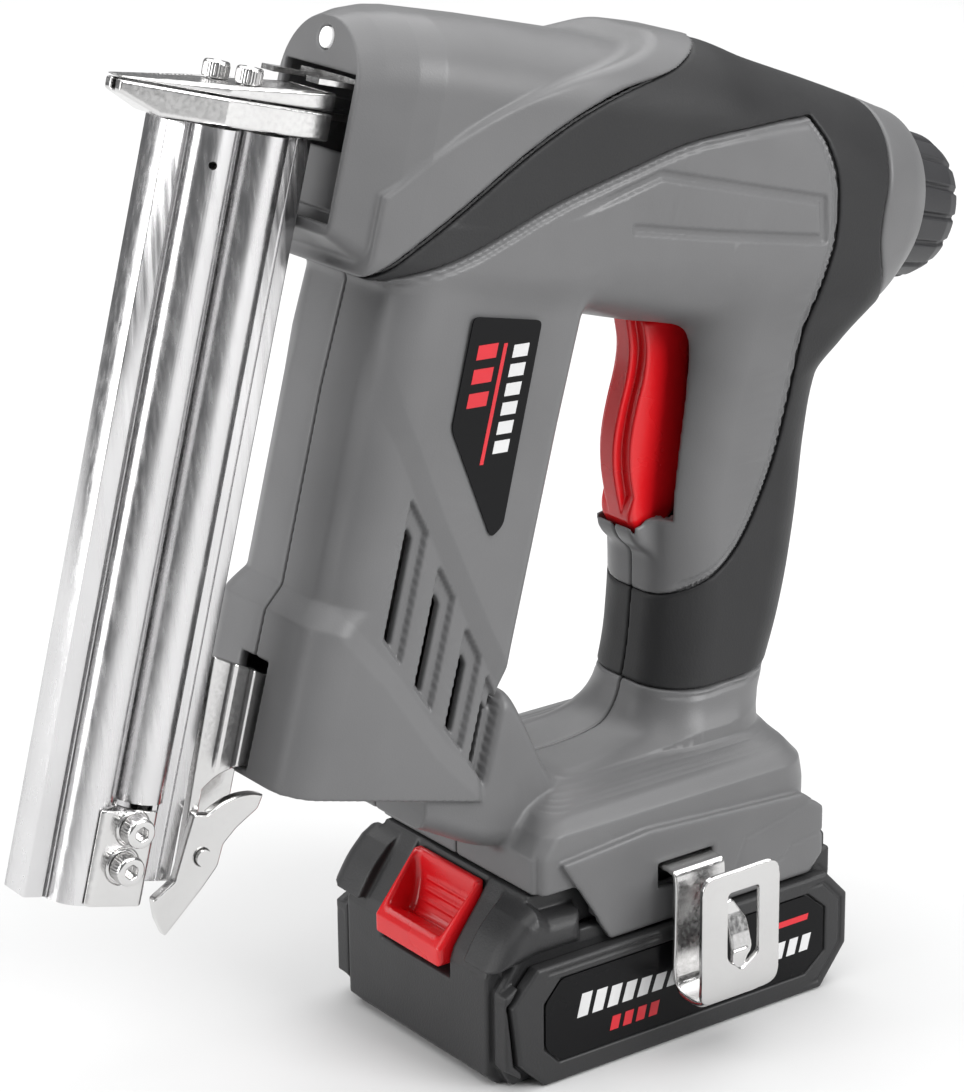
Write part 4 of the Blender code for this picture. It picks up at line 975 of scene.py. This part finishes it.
def battery():
    """The left half of the battery's case, as a field."""
    space = Space((-57.5, -37, 0), (52.5, 0, 48), 0.5)
    x, z, side = space.x, space.z, space.side
    front = [(-43.0, 47.0), (-46.0, 42.4), (-50.4, 36.6), (-54.0, 31.6), (BATTERY_FRONT, 28.6)]
    outline = [(BATTERY_FRONT, 3.0), (BATTERY_FRONT + 3.0, 0), (50, 0), (51.4, 1.6), (51.4, 38), (49, 41)]
    outline += [(20, 41), (20, 47.0), *front]
    case = meet(stencil(outline, x, z), side - 29.6, 1.2)
    sides = [(-53.8, 6), (-50.2, 0.4), (50, 0.4), (50, 36), (-46, 36), (-53.8, 26)]
    case = melt(case, meet(stencil(sides, x, z), side - 33.0, 1.0), 0.6)
    strip = stencil([(-54.2, 6.4), (-49.6, 3.0), (-49.6, 28.0), (-54.2, 25.6)], x, z)
    strip = meet(strip, np.maximum(30.5 - side, side - 36.2), 1.0)
    cheek_line = [(-56.8, 31.4), (-54.4, 31.0), (-44, 33), (-30, 33), (-30, 42.0), (-40, 42.4), (-43.6, 45.4)]
    cheek = stencil([*cheek_line, *curve([(-47.6, 43.2), (-52.4, 38.2), (-56.8, 31.4)])], x, z)
    cheek = np.maximum(meet(cheek, side - 36.2, 6.0), 22.0 - side)
    cheek = np.maximum(cheek, -np.maximum(flap(space, 0.4), 33.2 - side))
    case = melt(melt(case, strip, 0.5), cheek, 0.8)
    groove = np.minimum(np.abs(side - 30.2), np.abs(side - 36.6))
    case = case + 0.7 * ramp(groove, 0.7, 0.2) * ramp(x, -48, -50) * ramp(z, 29.5, 28.5) * ramp(z, 2, 4)
    case = carve(case, np.maximum(stencil(eased(PANEL, 1.04), x, z), 33.0 - side), 0.8)
    case = carve(case, block(space, (-48.6, -29.8, 2.4), (47.6, 29.8, 36.0)), 0.5)
    case = carve(case, block(space, (-20, -14, 30), (16, 14, 60)), 0.8)
    case = carve(case, block(space, (-70, -14.2, 23.4), (-43.4, 14.2, 60)), 1.0)
    return space, case


def battery_pieces():
    """The case from its half, then the side panels, their labels and the button."""
    space, case = battery()
    both = Space((-57.5, -37, 0), (52.5, 37, 48), 0.5)
    inner = np.abs(both.y[0, :, 0])
    index = np.clip((-inner - space.low[1]) / space.step, 0, case.shape[1] - 1)
    low = np.floor(index).astype(int)
    high = np.minimum(low + 1, case.shape[1] - 1)
    share = (index - low)[None, :, None]
    whole = case[:, low, :] * (1 - share) + case[:, high, :] * share
    solid("battery_shell", whole, both, BATTERY, "battery", ["battery_case"], keep=0.25)
    slab = Space((-54, -BATTERY_SIDE, -0.5), (53, -32.9, 37), 0.36)
    outer = stencil(PANEL, slab.x, slab.z)
    field = meet(outer, np.maximum(-BATTERY_SIDE - slab.y, slab.y + 33.3), 1.2)
    recess = stencil(eased(LABEL, 1.03), slab.x, slab.z)
    field = carve(field, np.maximum(recess, slab.y + BATTERY_SIDE - 1.0), 0.6)
    ledge = ramp(np.abs(outer + 2.4), 0.6, 0.2) * ramp(slab.x, 36, 44)
    step = ramp(np.abs(slab.z - 29.4), 0.6, 0.2) * ramp(np.abs(slab.x + 26), 18, 16)
    field = field + (0.45 * ledge + 0.4 * step) * ramp(slab.y, -36.4, -37.2)
    label = rounded(LABEL, 1.4)
    for mirror, name in SIDES:
        panel, node = [f"battery_side_{name}"], [f"battery_label_{name}"]
        solid(f"battery_cheek_{name}", field, slab, BATTERY, "battery", panel, mirror)
        level = BATTERY_SIDE - 0.7
        film(f"battery_film_{name}", label, level, 0.4, BLACK, "battery", node, mirror=mirror)
        battery_graphic(name, mirror)
    button()


def slanted(left, low, width, height, lean):
    """A leaning bar's outline."""
    low_side = [(left, low), (left + width, low)]
    return [*low_side, (left + width + lean, low + height), (left + lean, low + height)]


def battery_graphic(name, mirror):
    """Plain slanted stripes and a level bar in place of the printed words."""
    prints = []
    for k in range(7):
        stripe = slanted(-34.0 + 4.6 * k, 15.2, 3.2, 6.0 - 0.35 * k, 1.6)
        prints.append((f"stripe_{name}_{k + 1}", stripe, INK_PALE))
    for k in range(4):
        prints.append((f"level_{name}_{k + 1}", slanted(-24.0 + 4.0 * k, 8.8, 2.6, 3.6, 0.9), INK_RED))
    for k in range(3):
        prints.append((f"end_{name}_{k + 1}", slanted(28.0 + 4.2 * k, 12.0, 2.8, 4.4, 1.2), INK_PALE))
    prints.append((f"dash_{name}", slanted(24.0, 20.4, 15.0, 1.6, 0.4), INK_RED))
    level = BATTERY_SIDE - 0.28
    for piece, outline, ink in prints:
        film(f"label_{piece}", outline, level, INK_DEPTH, ink, "battery", [], mirror=mirror)


def button():
    """The red release button: a wedge with a ribbed hollow for the thumb."""
    space = Space((-58, -14, 26), (-43, 14, 46), 0.3)
    outline = [(-57.6, 26.4), (-57.6, 31.0), (-45.6, 45.6), (-43.7, 45.6), (-43.7, 26.4)]
    field = meet(stencil(outline, space.x, space.z), space.side - 13.8, 1.6)
    scoop = [(-75, 32.8), (-55.2, 32.8), (-49.0, 30.4), (-46.0, 36), (-45.2, 43.8), (-47.0, 62), (-75, 62)]
    lean = space.side + 0.12 * (44 - space.z)
    scoop = meet(stencil(curve(scoop, 3), space.x, space.z), lean - 12.4, 2.0)
    field = carve(field, scoop, 1.0)
    ribs = ramp(np.abs(((space.z + 1.3) % 2.6) - 1.3), 0.7, 0.2) * ramp(np.abs(space.y), 9.5, 8.0)
    field = field - 0.35 * ribs * ramp(np.abs(space.z - 35), 5.0, 4.0) * ramp(space.x, -53, -50)
    solid("battery_release", field, space, RED, "battery_button", ["battery_button"], keep=0.5)


# ---------------------------------------------------------------- small pieces
def belt_hook():
    """The bent sheet hook: its leg, its plate with a window, and the tongue lanced out of the window."""
    space = Space((-10, -55.2, 14), (15, -34, 52), 0.28)
    x, y, z = space.x, space.y, space.z
    path = [(-34.6, 46.5), (-38.6, 46.5), (-40.4, 44.6), (-40.4, 30), (-40.4, 20.2), (-42.4, 16.4)]
    path += [(-47.0, 15.2), (-51.8, 16.4), (-54.0, 20.4), (-54.0, 32), (-54.0, 50.0)]
    strip = line(curve(path, 6), y, z) - 0.7
    leg = meet(strip, np.maximum(np.abs(x - 1.0) - 7.8, -53.6 - y), 0.5)
    plate = stencil(rounded([(-9.6, 16.6), (14.4, 16.6), (14.4, 50.8), (-9.6, 50.8)], 4.6), x, z)
    plate = np.maximum(np.maximum(strip, y + 50.5), plate)
    hook = melt(leg, plate, 0.4)
    window = [(-1.6, 27.6), (2.6, 24.0), (8.2, 27.6), (8.2, 45.0), (-1.6, 45.0)]
    hook = carve(hook, np.maximum(stencil(rounded(window, 1.2), x, z), y + 50), 0.4)
    bent = np.interp(z, [28, 33, 38, 42], [-53.9, -52.6, -51.0, -50.4]).astype(np.float32)
    tongue = rounded([(0.4, 25.4), (3.0, 25.0), (6.6, 29), (6.2, 36), (2.6, 41.6), (0.4, 41)], 1.0)
    tongue = meet(stencil(tongue, x, z), np.abs(y - bent) - 0.6, 0.5)
    hook = melt(hook, np.maximum(tongue, 25.0 - z), 0.3)
    root = stencil([(-0.2, 22.4), (4.0, 22.4), (4.6, 29.0), (0.6, 29.0)], x, z)
    hook = melt(hook, meet(root, np.abs(y + 53.8) - 0.6, 0.4), 0.5)
    solid("belt_clip", hook, space, STEEL, "body", ["belt_hook"], keep=0.4)


def badges():
    """The film on each side of the column, with stripes, blocks and a line in place of the printed words."""
    outline = rounded([(88.6, -37.4), (108.0, -36.4), (108.8, -84.6), (106.0, -87.8), (88.6, -63.4)], 1.6)
    dash = [(98.4, -71.0), (99.4, -70.8), (99.4, -42.4), (98.4, -42.6)]
    for mirror, name in SIDES:
        node, level = [f"badge_{name}"], COLUMN_HALF + 0.2
        film(f"badge_film_{name}", outline, level, 0.35, BLACK, "body", node, HEAD, mirror)
        prints = []
        for k in range(6):
            low = -68.2 + 4.5 * k
            stripe = [(101.4, low), (105.6, low + 0.9), (105.6, low + 3.9), (101.4, low + 3.0)]
            prints.append((f"stripe_{name}_{k + 1}", stripe, INK_PALE))
        for k in range(3):
            low = -58.4 + 5.6 * k
            stripe = [(91.4, low), (96.8, low + 1.2), (96.8, low + 4.6), (91.4, low + 3.4)]
            prints.append((f"block_{name}_{k + 1}", stripe, INK_RED))
        prints.append((f"line_{name}", dash, INK_RED))
        level = COLUMN_HALF + 0.56
        for piece, shape, ink in prints:
            film(f"badge_{piece}", shape, level, INK_DEPTH, ink, "body", [], HEAD, mirror)


def lens():
    """The work light's lens, with a slightly domed front."""
    space = Space((FACE_U - 1, -2.6, 14.4), (FACE_U + 6.2, 2.6, 19.6), 0.12, HEAD)
    distance = np.hypot(space.y, space.v - LENS_V)
    front = FACE_U - 0.6 + 0.09 * distance ** 2
    field = meet(distance - 2.4, np.maximum(front - space.u, space.u - FACE_U - 6), 0.3)
    solid("lamp_lens", field, space, LENS, "body", ["work_light_lens"], keep=0.4)


# The CAD nodes that keep their shape, with the look that each takes.
KEPT = (
    (BRUSHED, "barrel"),
    (RUBBER, "bumper"),
    (NYLON, "piston spring_seat gearbox pusher trigger_switch terminal_block"),
    (DARK_STEEL, "driver_blade drive_spring motor_can housing_screw_1 housing_screw_2"),
    (DARK_STEEL, "housing_screw_3 housing_screw_4"),
    (COPPER, "motor_rotor pack_contacts"),
    (STEEL, "lifter_wheel jam_clip pusher_spring lever_pin trigger_spring"),
    (STRIP, "brad_strip"),
    (BOARD, "controller_board"),
    (CELL, "cell_1 cell_2 cell_3 cell_4 cell_5"),
)


def kept_nodes():
    for look, names in KEPT:
        for name in names.split():
            data = frame["nodes"][name].data
            data.materials.clear()
            data.materials.append(look)


# ---------------------------------------------------------------- studio
def studio():
    """A pale floor under a wide overhead softbox, with a softbox on each side and a dark room round them."""
    scene = bpy.context.scene
    scene.view_settings.view_transform = "Standard"
    mesh = bpy.data.meshes.new("floor")
    mesh.from_pydata([(-6, -6, 0), (6, -6, 0), (6, 6, 0), (-6, 6, 0)], [], [(0, 1, 2, 3)])
    floor = bpy.data.objects.new("floor", mesh)
    floor.location.z = -0.0002
    scene.collection.objects.link(floor)
    paint, tree, shader = nodes_of("floor_paint")
    tone = tinted(tree, graded(tree, grain(tree, 6.0, 2.0), 0.0, 1.0), (0.56, 0.56, 0.56), (0.58, 0.58, 0.58))
    feed(tree, shader, {"Base Color": tone, "Roughness": 0.9, "Specular IOR Level": 0.1})
    mesh.materials.append(paint)
    world = bpy.data.worlds.new("studio")
    world.use_nodes = True
    sky = world.node_tree.nodes["Background"]
    feed(world.node_tree, sky, {"Color": (0.97, 0.98, 1.0, 1), "Strength": 0.16})
    scene.world = world
    for name, place, aim, size, power in (
        ("overhead", (0.5, 0.75, 2.4), (0.5, 0.75, 0), (4.8, 4.8), 186),
        ("left", (-2.0, 0.7, 0.75), (0, 0, 0.2), (1.9, 1.3), 34),
        ("front", (0.75, -1.9, 1.15), (0, 0, 0.15), (1.2, 1.1), 46),
    ):
        lamp = bpy.data.lights.new(name, "AREA")
        lamp.shape = "RECTANGLE"
        lamp.size, lamp.size_y = size
        lamp.energy = power
        made = bpy.data.objects.new(name, lamp)
        made.location = place
        made.rotation_euler = (Vector(aim) - Vector(place)).to_track_quat("-Z", "Y").to_euler()
        scene.collection.objects.link(made)


def camera():
    """The camera: 36 degrees round to the left, 19 degrees up, and turned a little about its own axis."""
    azimuth, elevation, roll = (math.radians(angle) for angle in (-36.0, 19.1, -0.7))
    right = Vector((math.cos(azimuth), math.sin(azimuth), 0))
    level = math.cos(elevation)
    back = Vector((math.sin(azimuth) * level, -math.cos(azimuth) * level, math.sin(elevation)))
    up = back.cross(right)
    turned_right = math.cos(roll) * right + math.sin(roll) * up
    turned_up = math.cos(roll) * up - math.sin(roll) * right
    matrix = Matrix((turned_right, turned_up, back)).transposed().to_4x4()
    matrix.translation = Vector((-0.49635, -0.63714, 0.39766))
    data = bpy.data.cameras.new("camera")
    data.sensor_fit = "VERTICAL"
    data.sensor_height = data.sensor_width = 36
    data.lens = 115.4
    data.clip_start = 0.01
    made = bpy.data.objects.new("camera", data)
    made.matrix_world = matrix
    bpy.context.scene.collection.objects.link(made)
    bpy.context.scene.camera = made


housing()
front_cover()
rear_cap()
knob()
nose()
magazine()
end_clamp()
latch()
trigger()
battery_pieces()
belt_hook()
badges()
lens()
for k, (u, y) in enumerate(NOSE_SCREWS, 1):
    screw(f"nose_bolt_{k}", f"nose_screw_{k}", "body", (u, y, 2.1 + 0.074 * u), (0, 0, 1), 7.5, 3.0, 3.8, 1.8)
for k, (u, v) in enumerate(CLAMP_SCREWS, 1):
    screw(f"clamp_bolt_{k}", f"clamp_screw_{k}", "magazine_slide", (u, -12.3, v), (0, -1, 0), 5.0)
kept_nodes()
studio()
camera()
